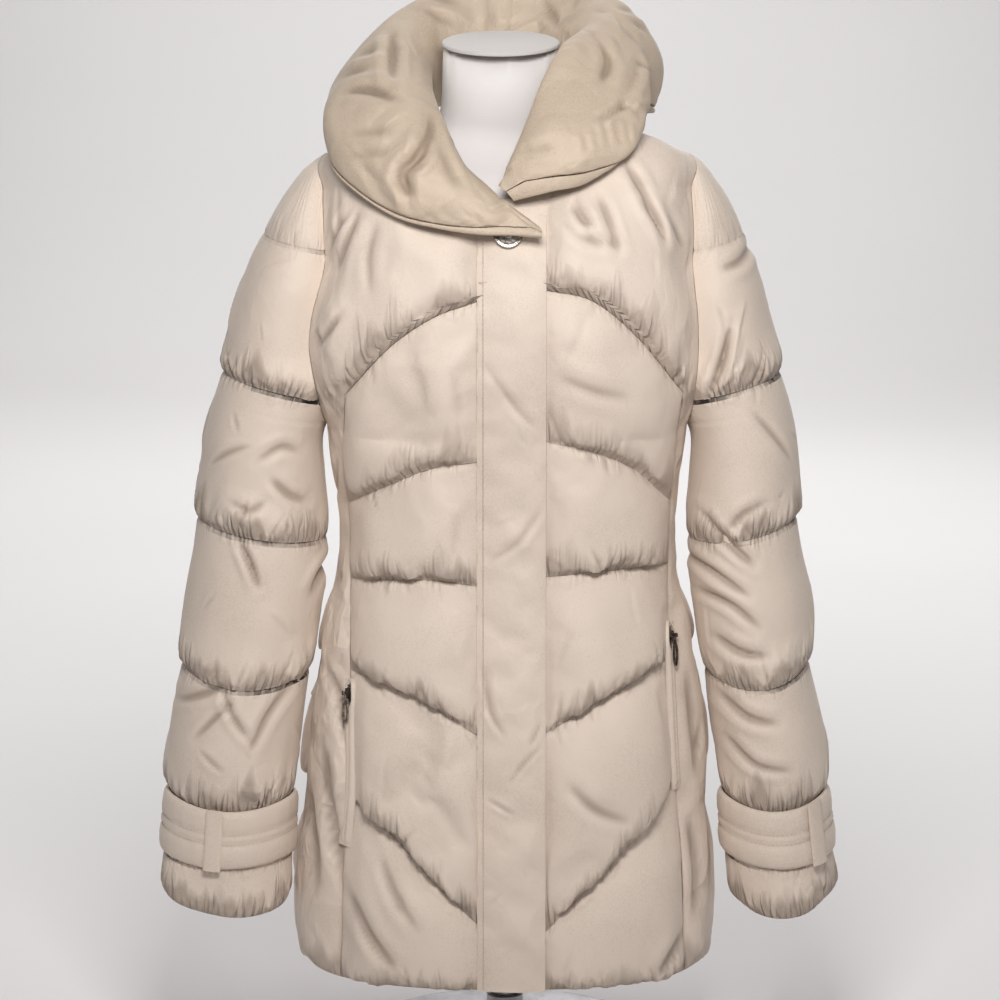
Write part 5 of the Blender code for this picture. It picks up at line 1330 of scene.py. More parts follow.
def belt_loop(side):
    """The narrow loop over a cuff strap."""
    node = named("belt_loop", side)
    radius = float(sleeve_section(side, np.array(LOOP_AT))[1])
    half = LOOP_WIDE / 2 / radius
    middle = math.radians(LOOP_TURN[side])
    across = np.linspace(-1, 1, 13)
    turns = middle + half * across
    rest = SEAM_GAP * 2 + STRAP_THICK * 1.24 + 0.3 * MM
    edge = 1 - 0.35 * np.abs(across) ** 6
    rows = []
    for share in np.linspace(-0.03, 1.03, 34):
        top = ring_on_cuff(side, share, rest + LOOP_THICK * edge, turns)
        low = ring_on_cuff(side, share, rest, turns)
        rows.append(np.vstack([top, low[::-1]]))
    made = closed_strip(node + "_sewn", np.array(rows), 40)
    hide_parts(node)
    dress(made, "shell")


def collar_band():
    """The narrow band along the collar's free edge, slightly puckered by its stitching."""
    u = np.linspace(0, 1, 481)
    start = band_start(u) + BAND_SEAM
    rings = []
    for share, lift in BAND_SECTION:
        v = start + (1 - start) * min(share, 1)
        middle, out = collar_surface(u, v), collar_out(u, v)
        wave = 1 + (0.16 * ripple(middle, 11 * MM, 41) if lift > 0 else np.zeros_like(u))
        rings.append(middle + out * (BAND_THICK / 2 * lift * wave)[..., None])
    made = closed_strip("collar_band_sewn", np.swapaxes(np.array(rings), 0, 1), 62)
    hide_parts("collar_band")
    dress(made, "collar")


def dress(made, finish, body="coat"):
    """Gives a piece its body and its finish."""
    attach(made, body)
    made.data.materials.clear()
    made.data.materials.append(FINISHES[finish])


# ---------------------------------------------------------------- hard pieces, made with Blender's own tools
def put_down():
    bpy.ops.object.select_all(action="DESELECT")


def open_up():
    bpy.ops.object.mode_set(mode="EDIT")
    bpy.ops.mesh.select_all(action="SELECT")


def close_up():
    bpy.ops.mesh.select_all(action="SELECT")
    bpy.ops.mesh.remove_doubles(threshold=0.00001)
    bpy.ops.mesh.normals_make_consistent(inside=False)
    bpy.ops.object.mode_set(mode="OBJECT")


def on_the_lathe(name, profile, sides, ring=False):
    """A turned piece round the upright line: a circle extruded from one (radius, height) to the next."""
    put_down()
    radius, height = profile[0]
    bpy.ops.mesh.primitive_circle_add(vertices=sides, radius=radius, fill_type="NOTHING" if ring else "NGON",
                                      location=(0, 0, height))
    made = bpy.context.object
    made.name = name
    bpy.ops.object.transform_apply(location=True, rotation=True, scale=True)
    open_up()
    for (r0, z0), (r1, z1) in zip(profile, profile[1:]):
        bpy.ops.mesh.extrude_region_move(TRANSFORM_OT_translate={"value": (0, 0, z1 - z0)})
        bpy.ops.transform.resize(value=(r1 / r0, r1 / r0, 1), center_override=(0, 0, z1))
    close_up()
    return made


def soften(made, width, segments=2, angle=35):
    """Rounds a piece's edges and shades it smooth."""
    bevel = made.modifiers.new("edges", "BEVEL")
    bevel.width, bevel.segments, bevel.limit_method = width, segments, "ANGLE"
    bevel.angle_limit = math.radians(angle)
    bpy.context.view_layer.objects.active = made
    bpy.ops.object.modifier_apply(modifier="edges")
    put_down()
    made.select_set(True)
    bpy.ops.object.shade_smooth_by_angle(angle=math.radians(38))


def join(pieces, name):
    put_down()
    for piece in pieces:
        piece.select_set(True)
    bpy.context.view_layer.objects.active = pieces[0]
    if len(pieces) > 1:
        bpy.ops.object.join()
    made = bpy.context.object
    made.name = name
    return made


def lay(made, matrix):
    """Moves a piece's mesh from the bench to its place."""
    made.data.transform(matrix)
    made.data.update()


def frame_matrix(origin, x, y, z):
    made = Matrix((x, y, z)).transposed().to_4x4()
    made.translation = origin
    return made


def cloth_frame(origin, down, out):
    """A right-handed matrix with its second axis down the cloth and its third outwards."""
    return frame_matrix(origin, down.cross(out), down, out)


def vector(point):
    return Vector([float(c) for c in point])


def seam_frame(side, z):
    """Origin on the long seam, outward direction, level direction and the way down the cloth."""
    point, out = (vector(v) for v in torso(side * float(long_seam_x(side, z)), FRONT, z))
    low = z - 20 * MM
    below = vector(torso(side * float(long_seam_x(side, low)), FRONT, low)[0])
    down = (below - point).normalized()
    return point, out, down.cross(out).normalized(), down


def throat_button():
    """A domed metal button: a beaded border, a ridge and a rosette of petals round a raised middle."""
    r, h = BUTTON_RADIUS, BUTTON_HIGH
    section = ((0.9, 0), (1, 0.22), (1, 0.4), (0.95, 0.5), (0.78, 0.5), (0.72, 0.66), (0.66, 0.7), (0.6, 0.62),
               (0.34, 0.8), (0.3, 0.94), (0.16, 1.0))
    disc = on_the_lathe("throat_button_metal", [(radius * r, height * h) for radius, height in section], 64)
    soften(disc, 0.15 * MM)
    parts = [disc]

    def bead(radius, height, size, count, stretch=1.0, turn=0.0):
        for k in range(count):
            put_down()
            angle = 2 * math.pi * (k + turn) / count
            bpy.ops.mesh.primitive_uv_sphere_add(segments=8, ring_count=5, radius=size,
                                                 location=(radius * math.cos(angle), radius * math.sin(angle), height))
            piece = bpy.context.object
            open_up()
            bpy.ops.transform.resize(value=(stretch, 1, 0.7))
            bpy.ops.object.mode_set(mode="OBJECT")
            piece.rotation_euler = (0, 0, angle)
            bpy.ops.object.transform_apply(location=True, rotation=True, scale=True)
            bpy.ops.object.shade_smooth()
            parts.append(piece)

    bead(0.87 * r, 0.5 * h, 0.062 * r, 32)
    bead(0.47 * r, 0.7 * h, 0.075 * r, 10, 1.9)
    bead(0.24 * r, 0.92 * h, 0.05 * r, 8)
    made = join(parts, "throat_button_metal")
    point, out = (vector(v) for v in torso(BUTTON_AT[0], FRONT, BUTTON_AT[1]))
    lay(made, placed(point + out * (PLACKET_OVER + PLACKET_THICK + 1 * MM), out))
    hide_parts("throat_button")
    dress(made, "old_silver")


def placed(origin, out):
    """A matrix that stands a bench piece's upright line on out."""
    made = Vector((0, 0, 1)).rotation_difference(out).to_matrix().to_4x4()
    made.translation = origin
    return made


def slider_height(side):
    return POCKET_TOP[side] - SLIDER_DROP


END_NARROWED = 0.82          # how wide a bench block is at its two ends


def bench_block(name, size, centre, width):
    """A small block with its long edges drawn in and its corners rounded."""
    put_down()
    bpy.ops.mesh.primitive_cube_add(size=1, location=centre)
    made = bpy.context.object
    made.name = name
    made.scale = size
    bpy.ops.object.transform_apply(location=True, rotation=True, scale=True)
    open_up()
    bpy.ops.mesh.subdivide(number_cuts=1)
    bpy.ops.object.mode_set(mode="OBJECT")
    for vertex in made.data.vertices:
        if abs(vertex.co.y - centre[1]) > 0.45 * size[1]:
            vertex.co.x = centre[0] + (vertex.co.x - centre[0]) * END_NARROWED
    soften(made, width)
    return made


def zip_slider(side):
    """The slider's body over the chain, two ears and the pin between them."""
    node = named("zip_slider", side)
    body = bench_block("body", (7 * MM, 10 * MM, 1.6 * MM), (0, 0, 3.1 * MM), 0.4 * MM)
    ears = [bench_block("ear", (1.2 * MM, 4 * MM, 4.6 * MM), (k * 2.7 * MM, 0, 5.7 * MM), 0.25 * MM)
            for k in (-1, 1)]
    pin = on_the_lathe("pin", [(0.3 * MM, -2.8 * MM), (0.45 * MM, -2.6 * MM), (0.45 * MM, 2.6 * MM),
                               (0.3 * MM, 2.8 * MM)], 16)
    pin.rotation_euler = (0, math.pi / 2, 0)
    pin.location = (0, 0, PIN_OUT)
    put_down()
    pin.select_set(True)
    bpy.context.view_layer.objects.active = pin
    bpy.ops.object.transform_apply(location=True, rotation=True, scale=True)
    made = join([body, *ears, pin], node + "_metal")
    point, out, _, down = seam_frame(side, slider_height(side))
    lay(made, cloth_frame(point, down, out))
    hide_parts(node)
    dress(made, "dark_nickel")


def zip_pull(side):
    """The pull tab: an eye loose on the slider's pin, a short neck and an open oval with a rolled rim."""
    node = named("zip_pull", side)
    put_down()
    bpy.ops.mesh.primitive_torus_add(major_radius=1.75 * MM, minor_radius=0.45 * MM, major_segments=24,
                                     minor_segments=10, rotation=(0, math.pi / 2, 0))
    eye = bpy.context.object
    bpy.ops.object.transform_apply(location=True, rotation=True, scale=True)
    open_up()
    bpy.ops.transform.resize(value=(3.2, 1, 1))
    bpy.ops.object.mode_set(mode="OBJECT")
    neck = bench_block("neck", (2.4 * MM, 1.6 * MM, 5.6 * MM), (0, 0, -4.4 * MM), 0.3 * MM)
    put_down()
    middle = 18 * MM
    bpy.ops.mesh.primitive_circle_add(vertices=40, radius=1 * MM, fill_type="NGON", location=(0, -0.8 * MM, -middle),
                                      rotation=(math.pi / 2, 0, 0))
    oval = bpy.context.object
    bpy.ops.object.transform_apply(location=True, rotation=True, scale=True)
    open_up()
    bpy.ops.transform.resize(value=(4, 1, 12), center_override=(0, -0.8 * MM, -middle))
    bpy.ops.mesh.inset(thickness=2.2 * MM, depth=0)
    bpy.ops.mesh.delete(type="ONLY_FACE")
    bpy.ops.mesh.select_all(action="SELECT")
    bpy.ops.mesh.extrude_region_move(TRANSFORM_OT_translate={"value": (0, 1.6 * MM, 0)})
    close_up()
    soften(oval, 0.45 * MM, 3)
    made = join([eye, neck, oval], node + "_metal")
    point, out, level, down = seam_frame(side, slider_height(side))
    lay(made, frame_matrix(point + out * PIN_OUT, level * -1, out * -1, down * -1))
    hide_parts(node)
    slot, finish = ("silver_metal", "old_silver") if side == RIGHT else ("dark_metal", "dark_nickel")
    dress(made, finish, named("pull", side))


def copies(name, bench, matrices):
    """One mesh of a bench piece repeated at every matrix."""
    count = len(bench.data.vertices)
    flat = np.empty(count * 3)
    bench.data.vertices.foreach_get("co", flat)
    flat = flat.reshape(-1, 3)
    points, faces = [], []
    for k, matrix in enumerate(matrices):
        m = np.array(matrix)
        points.append(flat @ m[:3, :3].T + m[:3, 3])
        faces += [[v + k * count for v in polygon.vertices] for polygon in bench.data.polygons]
    made = new_object(name, np.vstack(points), faces, 50)
    bpy.data.objects.remove(bench, do_unlink=True)
    return made


def zip_chain(side):
    """The closed chain: two rows of teeth that interlock."""
    node = named("zip_chain", side)
    tooth = bench_block("tooth", (2.5 * MM, 0.85 * MM, 0.9 * MM), (0, 0, 0), 0.14 * MM)
    places = []
    count = int(POCKET_LENGTH / TOOTH_STEP)
    for k in range(count):
        z = POCKET_TOP[side] - POCKET_LENGTH * (k + 0.5) / count
        point, out, level, down = seam_frame(side, z)
        x = level * (TOOTH_SIDE if k % 2 else -TOOTH_SIDE)
        places.append(cloth_frame(point + out * CHAIN_OUT + x, down, out))
    made = copies(node + "_metal", tooth, places)
    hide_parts(node)
    dress(made, "dark_nickel")


STITCH_LONG, STITCH_APART, STITCH_THICK = 3.1 * MM, 1.3 * MM, 0.42 * MM


def stitches(name, lines, finish):
    """Rows of top stitching: one short thread, repeated along each line; a line is points and outward directions."""
    length, gap, thick = STITCH_LONG, STITCH_APART, STITCH_THICK
    put_down()
    bpy.ops.mesh.primitive_cylinder_add(vertices=6, radius=thick, depth=length, rotation=(0, math.pi / 2, 0))
    thread = bpy.context.object
    bpy.ops.object.transform_apply(location=True, rotation=True, scale=True)
    open_up()
    bpy.ops.mesh.subdivide(number_cuts=1)
    bpy.ops.object.mode_set(mode="OBJECT")
    for vertex in thread.data.vertices:
        ends = (abs(vertex.co.x) / (length / 2)) ** 2
        vertex.co.z -= ends * thick * 0.9
        vertex.co.y *= 1 - 0.35 * ends
    places = []
    for points, outs in lines:
        steps = np.linalg.norm(np.diff(points, axis=0), axis=1)
        run = np.concatenate([[0], np.cumsum(steps)])
        count = int(run[-1] / (length + gap))
        for k in range(count):
            at = (k + 0.5) * run[-1] / count
            here, ahead = (Vector([np.interp(s, run, points[:, c]) for c in range(3)])
                           for s in (at - 1 * MM, at + 1 * MM))
            out = Vector([np.interp(at, run, outs[:, c]) for c in range(3)])
            x = (ahead - here).normalized()
            y = out.cross(x).normalized()
            places.append(frame_matrix((here + ahead) / 2, x, y, x.cross(y)))
    dress(copies(name, thread, places), finish)


# ---------------------------------------------------------------- the form and its stand
def form_cover():
    """The form's jersey cover: the solid's own shape, merged and smoothed."""
    put_down()
    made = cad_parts["dress_form"].copy()
    made.data = made.data.copy()
    made.parent = None
    made.name = "dress_form_cover"
    for key in list(made.keys()):
        del made[key]
    bpy.context.scene.collection.objects.link(made)
    made.select_set(True)
    bpy.context.view_layer.objects.active = made
    open_up()
    bpy.ops.mesh.remove_doubles(threshold=0.00001)
    bpy.ops.mesh.tris_convert_to_quads()
    bpy.ops.object.mode_set(mode="OBJECT")
    smooth = made.modifiers.new("smooth", "SUBSURF")
    smooth.levels = smooth.render_levels = 2
    bpy.ops.object.modifier_apply(modifier="smooth")
    bpy.ops.object.shade_smooth_by_angle(angle=math.radians(50))
    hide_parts("dress_form")
    dress(made, "jersey")


def neck_cap():
    """The cap on the neck: a cloth disc with a rolled edge."""
    tilt = math.radians(8.5)
    made = on_the_lathe("neck_cap_disc", [(0.97, 0), (1, 0.15), (1, 0.75), (0.985, 0.95), (0.96, 1), (0.5, 1.1),
                                          (0.02, 1.12)], 72)
    axis = Vector((0, -math.sin(tilt), math.cos(tilt)))
    centre = Vector((-4 * MM, 0, 990 * MM)) + axis * SEAM_GAP
    lay(made, frame_matrix(centre, Vector((56 * MM, 0, 0)), Vector((0, math.cos(tilt), math.sin(tilt))) * 52 * MM,
                           axis * 4 * MM))
    soften(made, 0.3 * MM, 2, 20)
    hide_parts("neck_cap")
    dress(made, "cap_cloth")


def stand():
    """The weighted base, the foot and pole on it, and the flange under the form; sections in millimetres."""
    high = BASE_THICK
    r, low = BASE_RADIUS, high + GAP
    under = FORM_LOW - GAP - FLANGE_THICK
    top = under - GAP
    bore = POLE_RADIUS + GAP
    pieces = (
        # name, section of (radius, height), sides, is it a ring, rounding and from which angle
        ("stand_base_plate", ((r - 4, 0), (r, 1.2), (r, 0.7 * high), (r - 1, 0.85 * high), (r - 6, high),
                              (r - 12, high), (40, high), (1, high)), 128, False, 0.6, 25),
        ("stand_pole_tube", ((13.4, low), (POLE_RADIUS, low + 0.6), (POLE_RADIUS, top - 0.6), (13.4, top)),
         64, False, 0.2, 35),
        ("stand_foot_socket", ((bore, low), (28, low), (27.6, high + 3), (25, high + 6.5), (20, high + 9),
                               (18, high + 12), (18, high + 39), (17, high + 40), (bore, high + 40), (bore, low)),
         64, True, 0.4, 35),
        ("form_flange_plate", ((42, under), (45, under + 1), (45, under + 7), (42, under + FLANGE_THICK),
                               (1, under + FLANGE_THICK)), 72, False, 0.4, 35),
    )
    for name, section, sides, ring, rounding, angle in pieces:
        made = on_the_lathe(name, [(radius * MM, height * MM) for radius, height in section], sides, ring)
        soften(made, rounding * MM, 2, angle)
        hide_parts(name.rsplit("_", 1)[0])
        dress(made, "brushed_steel")


# ---------------------------------------------------------------- finishes
def linear(colour):
    """Blender's linear colour from the usual 0 to 255 one."""
    return tuple(((c / 255 + 0.055) / 1.055) ** 2.4 if c > 10 else c / 255 / 12.92 for c in colour)


class Finish:
    """A material being made, with short ways to add its nodes; a source is a node and the name of its output."""

    def __init__(self, name, **values):
        self.made = bpy.data.materials.new(name)
        self.made.use_nodes = True
        self.tree = self.made.node_tree
        self.shader = self.tree.nodes["Principled BSDF"]
        for key, value in values.items():
            self.shader.inputs[key.replace("_", " ")].default_value = value
        self.place = self.add("TexCoord"), "Object"
        self.relief = None

    def add(self, kind, **values):
        node = self.tree.nodes.new("ShaderNode" + kind)
        for key, value in values.items():
            if key.replace("_", " ") in node.inputs:
                node.inputs[key.replace("_", " ")].default_value = value
            else:
                setattr(node, key, value)
        return node

    def link(self, source, node, into):
        self.tree.links.new(source[0].outputs[source[1]], node.inputs[into])

    def texture(self, kind, at=None, **values):
        """A texture read at the piece's own coordinates, or at another source's."""
        node = self.add("Tex" + kind, **values)
        self.link(at or self.place, node, "Vector")
        return node, "Distance" if kind == "Voronoi" else "Fac"

    def mapped(self, at=None, **values):
        node = self.add("Mapping", **values)
        self.link(at or self.place, node, "Vector")
        return node, "Vector"

    def do(self, operation, *values, clamp=False):
        """One sum of values and sources."""
        node = self.add("Math", operation=operation, use_clamp=clamp)
        for number, value in enumerate(values):
            if isinstance(value, (int, float)):
                node.inputs[number].default_value = value
            else:
                self.link(value, node, number)
        return node, "Value"

    def ramp(self, source, low, high, at=(0.3, 0.7)):
        node = self.add("ValToRGB")
        stops = node.color_ramp.elements
        stops[0].position, stops[1].position = at
        stops[0].color, stops[1].color = (*low, 1), (*high, 1)
        self.link(source, node, "Fac")
        return node, "Color"

    def dye(self, source, low, high, at=(0.3, 0.7)):
        """A colour that varies between two, given as 0 to 255."""
        return self.ramp(source, linear(low), linear(high), at)

    def roughness(self, source, low, high):
        node = self.add("MapRange", To_Min=low, To_Max=high)
        self.link(source, node, "Value")
        self.link((node, "Result"), self.shader, "Roughness")

    def emboss(self, source, deep, strength=1.0):
        """Adds a relief on top of those so far."""
        node = self.add("Bump", Distance=deep, Strength=strength)
        self.link(source, node, "Height")
        if self.relief:
            self.link(self.relief, node, "Normal")
        self.relief = node, "Normal"

    def done(self, colour):
        self.link(colour, self.shader, "Base Color")
        if self.relief:
            self.link(self.relief, self.shader, "Normal")
        return self.made


SHADE = 0.42                 # how dark the painted shade in gathers and fold hollows is, of the most


def crumpled(new):
    """Crisp facets where the cloth is crumpled, in patches, as much as the piece's crumple says."""
    do = new.do
    much = new.add("Attribute", attribute_name="crumple"), "Fac"
    patch = do("MULTIPLY", do("SUBTRACT", new.texture("Noise", Scale=9.0, Detail=1.0), 0.4), 3.6, clamp=True)
    bent = new.texture("Noise", Scale=14.0, Detail=2.0)[0]
    shift = new.add("VectorMath", operation="SCALE", Scale=0.03)
    new.link((bent, "Color"), shift, 0)
    moved = new.add("VectorMath", operation="ADD")
    new.link(new.place, moved, 0)
    new.link((shift, "Vector"), moved, 1)
    for scale, turned, deep in ((20.0, (0.7, 0.4, 0.9), 0.012), (52.0, (0.3, 1.1, 0.5), 0.0025)):
        spin = new.mapped((moved, "Vector"), Rotation=turned, Scale=(1.0, 1.6, 0.8))
        facets = new.texture("Voronoi", spin, Scale=scale, distance="MANHATTAN")
        new.emboss(do("MULTIPLY", do("MULTIPLY", facets, much), patch), deep)


def drawn_in(new):
    """Fine sharp gathers at the sewn seams, most of them above the seam, as hard as the piece's pull says.

    Returns the painted shade there, in jagged patches above the seams, and in the hollows of its folds.
    """
    do = new.do
    pull = new.add("Attribute", attribute_name="pull"), "Fac"
    hollow = new.add("Attribute", attribute_name="hollow"), "Fac"
    ways = new.add("SeparateXYZ")
    new.link((new.add("Attribute", attribute_name="gathered"), "Vector"), ways, "Vector")
    heights = new.add("SeparateXYZ")
    new.link(new.place, heights, "Vector")
    spots = new.add("CombineXYZ")
    new.link((ways, "X"), spots, "X")
    new.link(do("MULTIPLY", (heights, "Z"), 0.16), spots, "Y")
    spots = spots, "Vector"
    waves = new.texture("Noise", spots, Scale=120.0, Detail=1.0, Roughness=0.4)
    valley = do("MULTIPLY", do("ABSOLUTE", do("SUBTRACT", waves, 0.5)), 8.0, clamp=True)
    lengths = new.texture("Noise", spots, Scale=55.0, Detail=1.0)
    reach = do("ADD", do("MULTIPLY", do("SUBTRACT", lengths, 0.28, clamp=True), 0.09), 0.004)
    up = do("SUBTRACT", 1.0, do("DIVIDE", (ways, "Y"), reach), clamp=True)
    down = do("SUBTRACT", 1.0, do("DIVIDE", (ways, "Z"), do("MULTIPLY", reach, 0.4)), clamp=True)
    depth_there = do("MULTIPLY", valley, do("MAXIMUM", up, do("MULTIPLY", down, 0.5)))
    new.emboss(do("MULTIPLY", depth_there, pull), 0.003)
    # Painted shade: jagged dark patches reaching up from each seam, where the puff turns under, away from the light.
    broad = new.texture("Noise", spots, Scale=30.0, Detail=2.5, Roughness=0.6)
    wide = do("ADD", do("MULTIPLY", do("SUBTRACT", broad, 0.4, clamp=True), 0.16), 0.003)
    over = do("MULTIPLY", do("SUBTRACT", 1.0, do("DIVIDE", (ways, "Y"), wide)), 2.2, clamp=True)
    # How dark the painted shade is: over the patches and gathers above the seams, and in the hollows of the folds.
    shade = do("MULTIPLY", do("MULTIPLY", do("MAXIMUM", over, up), SHADE), pull)
    return do("MAXIMUM", shade, do("MULTIPLY", hollow, SHADE))


def woven(name, light, dark, rough, sheen, crumple):
    """Padded cloth: an uneven dye with a fine grain, faint crumples, a plain weave and a soft sheen."""
    new = Finish(name, Metallic=0.1, Sheen_Weight=sheen, Sheen_Roughness=0.4, Sheen_Tint=(1.0, 0.96, 0.92, 1),
                 Specular_IOR_Level=0.4)
    cloud = new.texture("Noise", Scale=9.0, Detail=4.0, Roughness=0.6)
    grain = new.texture("Noise", Scale=620.0, Detail=2.0, Roughness=0.6)
    dye = new.dye(new.do("ADD", cloud, grain), dark, light, (0.72, 1.28))
    new.roughness(new.texture("Noise", Scale=34.0, Detail=3.0), rough - 0.05, rough + 0.05)
    for scale, deep in ((55.0, crumple), (620.0, 0.00005)):
        new.emboss(new.texture("Noise", Scale=scale, Detail=2.0, Distortion=0.6, Roughness=0.55), deep, 0.8)
    crumpled(new)
    # Painted shade: the gathers above the seams and the hollows of the folds darken the dye.
    painted_shade_colour = new.ramp(drawn_in(new), (1, 1, 1), (0.30, 0.245, 0.21), (0, 0.8))
    shaded = new.add("Mix", data_type="RGBA", blend_type="MULTIPLY")
    shaded.inputs[0].default_value = 1
    new.link(dye, shaded, 6)
    new.link(painted_shade_colour, shaded, 7)
    for turn in (0.0, math.pi / 2):
        threads = new.texture("Wave", new.mapped(Rotation=(0, turn, 0)), Scale=330.0, Distortion=0.4, Detail=1.0,
                              Detail_Scale=3.0)
        new.emboss(threads, 0.00006, 0.25)
    return new.done((shaded, 2))


def metal(name, light, dark, rough, scale, wear):
    """Plated or brushed metal with uneven tarnish and fine scratches."""
    new = Finish(name, Metallic=1.0)
    tone = new.dye(new.texture("Noise", Scale=scale, Detail=5.0), dark, light, (0.35, 0.65))
    fine = new.texture("Noise", new.mapped(Scale=(1, 1, 14)), Scale=scale * 5, Detail=3.0)
    new.roughness(fine, rough - wear, rough + wear)
    new.emboss(fine, 0.00004, 0.4)
    return new.done(tone)


def jersey(name, grey, white):
    """The form's knitted cover: rows of fine loops, slightly grey where it has been handled."""
    new = Finish(name, Roughness=0.85, Sheen_Weight=0.25)
    for scale, uneven_by, way, deep in ((230.0, 1.2, "Z", 0.00016), (260.0, 0.6, "X", 0.00012)):
        loops = new.texture("Wave", Scale=scale, Distortion=uneven_by, Detail=1.0, bands_direction=way)
        new.emboss(loops, deep, 0.5)
    return new.done(new.dye(new.texture("Noise", Scale=6.0, Detail=4.0), grey, white))


def paper():
    """The plain backdrop."""
    new = Finish("backdrop_paper", Roughness=0.9)
    return new.done(new.dye(new.texture("Noise", Scale=0.8, Detail=2.0), (226, 223, 223), (230, 227, 227)))


FINISHES = {
    "shell": woven("champagne_shell", (219, 203, 188), (209, 193, 178), 0.68, 0.2, 0.0002),
    # The collar's satin, darker and yellower than the shell's; part of the darkness is painted shade for the light that
    # grazes the turned-up collar.
    "collar": woven("collar_lining", (194, 176, 156), (182, 164, 143), 0.62, 0.15, 0.0002),
    "thread": woven("stitching_thread", (200, 186, 170), (186, 171, 155), 0.6, 0.2, 0.0001),
    "old_silver": metal("old_silver", (196, 190, 182), (112, 104, 98), 0.34, 260.0, 0.1),
    "dark_nickel": metal("dark_nickel", (120, 112, 108), (62, 57, 55), 0.32, 300.0, 0.1),
    "brushed_steel": metal("brushed_steel", (186, 186, 188), (150, 150, 152), 0.3, 30.0, 0.08),
    "jersey": jersey("white_jersey", (206, 200, 197), (224, 219, 217)),
    "cap_cloth": jersey("cap_cloth", (190, 184, 179), (202, 196, 192)),
    "paper": paper(),
}


# ---------------------------------------------------------------- the studio
VIEW_CENTRE = (-4.7 * MM, -130 * MM, 573 * MM)
VIEW_TILT, VIEW_AWAY = math.radians(10), 3.8
SWEEP_STEPS, SWEEP_STEP, WALL_HIGH = 8, 0.235, 6        # the floor's bend into the backdrop, in metres

LIGHTS = (
    # name, place, aim, size, power
    ("key", (0.0, -1.3, 1.45), (0, -0.1, 0.8), (0.5, 0.4), 19.2),
    ("fill", (0.7, -3.0, 1.2), (0, 0, 0.7), (1.2, 1.2), 4),
    ("wall_wash", (0, 3.9, 2.3), (0, 5.2, 0.3), (3.0, 0.8), 33),
    ("floor_wash", (0, 2.1, 2.5), (0, 2.1, 0), (3.4, 2.6), 60),
    ("side_light_right", (-2.3, -0.3, 2.3), (0, 0, 0.6), (1.0, 1.0), 7),
    ("side_light_left", (2.3, -0.3, 2.3), (0, 0, 0.6), (1.0, 1.0), 9),
    ("back_light", (0.8, 3.4, 1.9), (0, 0, 0.7), (1.2, 0.9), 12),
)


def view():
    """The camera, slightly above the coat."""
    camera = bpy.data.objects.new("camera", bpy.data.cameras.new("camera"))
    bpy.context.scene.collection.objects.link(camera)
    camera.location = Vector(VIEW_CENTRE) + Vector((0, -math.cos(VIEW_TILT), math.sin(VIEW_TILT))) * VIEW_AWAY
    camera.rotation_euler = (math.pi / 2 - VIEW_TILT, 0, 0)
    camera.data.lens = 145.5
    camera.data.sensor_width = 36
    camera.data.clip_end = 60
    bpy.context.scene.camera = camera


def backdrop():
    """The floor, which bends up into a wall behind the coat."""
    put_down()
    bpy.ops.mesh.primitive_plane_add(size=1, location=(0, 0, 0))
    floor = bpy.context.object
    floor.name = "studio_floor"
    open_up()
    bpy.ops.transform.resize(value=(40, 24, 1))
    bpy.ops.transform.translate(value=(0, -7.6, 0))
    bpy.ops.object.mode_set(mode="OBJECT")
    for vertex in floor.data.vertices:
        vertex.select = vertex.co.y > 0
    for edge in floor.data.edges:
        edge.select = all(floor.data.vertices[v].select for v in edge.vertices)
    for polygon in floor.data.polygons:
        polygon.select = False
    bpy.ops.object.mode_set(mode="EDIT")
    bpy.ops.mesh.select_mode(type="EDGE")
    turns = [math.radians(90 * (step + 0.5) / SWEEP_STEPS) for step in range(SWEEP_STEPS)]
    for way in [(0, SWEEP_STEP * math.cos(turn), SWEEP_STEP * math.sin(turn)) for turn in turns] + [(0, 0, WALL_HIGH)]:
        bpy.ops.mesh.extrude_region_move(TRANSFORM_OT_translate={"value": way})
    bpy.ops.mesh.select_mode(type="VERT")
    bpy.ops.object.mode_set(mode="OBJECT")
    bpy.ops.object.shade_smooth()
    floor.data.materials.append(FINISHES["paper"])


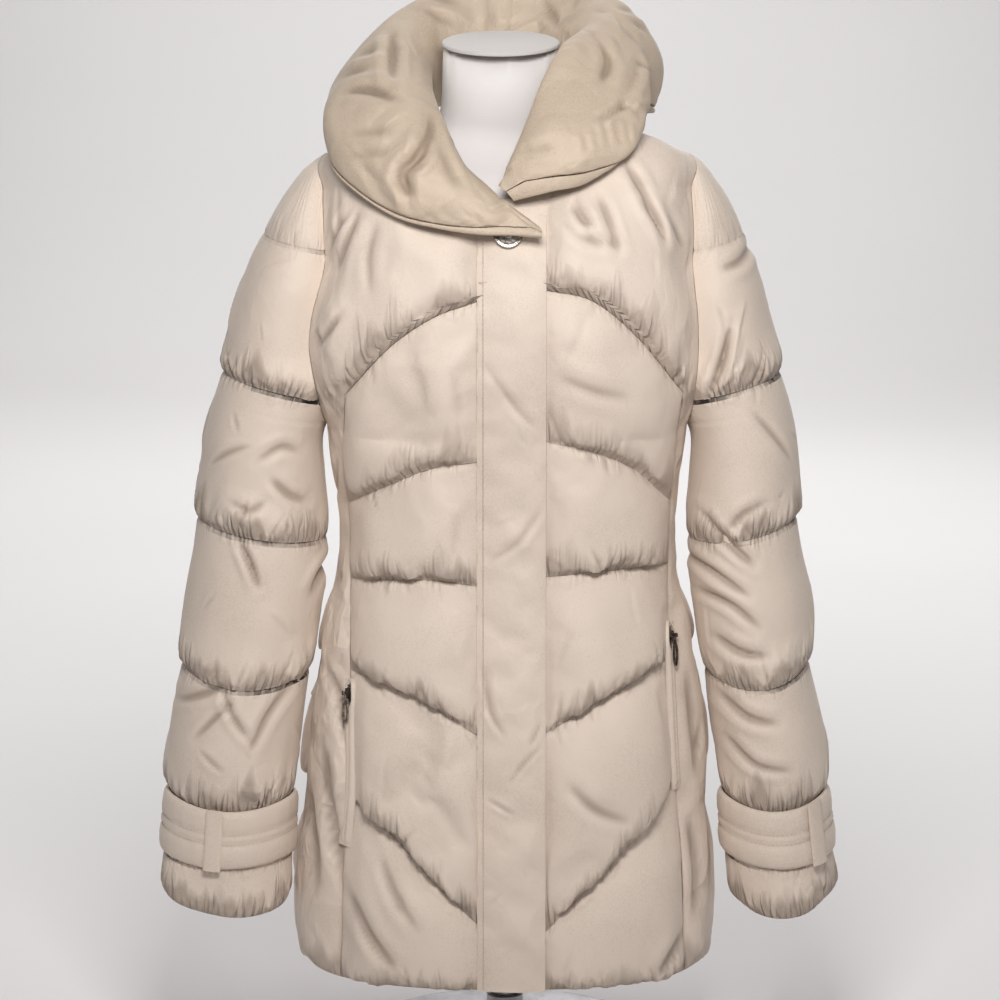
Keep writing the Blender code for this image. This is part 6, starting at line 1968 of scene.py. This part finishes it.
def lights():
    """Soft lamps, and a faint even light from all round."""
    for name, place, aim, size, power in LIGHTS:
        lamp = bpy.data.objects.new(name, bpy.data.lights.new(name, "AREA"))
        bpy.context.scene.collection.objects.link(lamp)
        lamp.location = place
        lamp.rotation_euler = (Vector(aim) - Vector(place)).to_track_quat("-Z", "Y").to_euler()
        lamp.data.shape = "RECTANGLE"
        lamp.data.size, lamp.data.size_y = size
        lamp.data.energy = power
    world = bpy.data.worlds.new("studio")
    bpy.context.scene.world = world
    world.use_nodes = True
    surround = world.node_tree.nodes["Background"]
    surround.inputs["Color"].default_value = (0.93, 0.93, 0.95, 1)
    surround.inputs["Strength"].default_value = 0.12
    bpy.context.scene.view_settings.view_transform = "Standard"


# ---------------------------------------------------------------- putting it together
def top_stitching():
    """Rows of stitches along the placket, round the cuff straps and along the collar's band."""
    z = np.linspace(PLACKET_TOP - 3 * MM, HEM_Z + 3 * MM, 180)
    point, out = torso(np.full_like(z, PLACKET[RIGHT] + PLACKET_ROW_IN), FRONT, z)
    t = PLACKET_ROW_IN / (PLACKET[LEFT] - PLACKET[RIGHT])
    lift = PLACKET_OVER + PLACKET_THICK * (0.3 + 0.7 * dome(t, 0.35)) + 0.9 * MM
    stitches("placket_stitching", [(point + out * lift, out)], "thread")
    lines = []
    turns = np.linspace(0, 2 * math.pi, 200)
    for side in (RIGHT, LEFT):
        for share in STRAP_ROWS:
            ring = ring_on_cuff(side, share, STRAP_LIFT + STRAP_THICK * 0.78, turns)
            lines.append((ring, sleeve_surface(side, strap_z(share, turns), turns)[1]))
    stitches("cuff_strap_stitching", lines, "thread")
    u = np.linspace(0.01, 0.99, 300)
    v = band_start(u) + BAND_SEAM
    v = v + (1 - v) * 0.5
    middle, out = collar_surface(u, v), collar_out(u, v)
    stitches("collar_band_stitching", [(middle + out * BAND_THICK / 2 * 1.16, out)], "thread")


def build():
    view()
    backdrop()
    lights()
    yokes = [yoke_front(side) for side in (RIGHT, LEFT)]
    panels = [centre_front(side) for side in (RIGHT, LEFT)] + [back_panel(), placket_panel(), collar_panel()]
    panels += [sleeve_panel(side) for side in (RIGHT, LEFT)]
    inflate(panels + [panel for panel, _ in yokes])
    for panel in panels:
        finish_panel(panel)
    for panel, corner in yokes:
        finish_panel(panel, corner)
    collar_band()
    for side in (RIGHT, LEFT):
        cuff_strap(side)
        belt_loop(side)
        zip_chain(side)
        zip_lips(side)
        zip_slider(side)
        zip_pull(side)
    top_stitching()
    throat_button()
    form_cover()
    neck_cap()
    stand()


build()
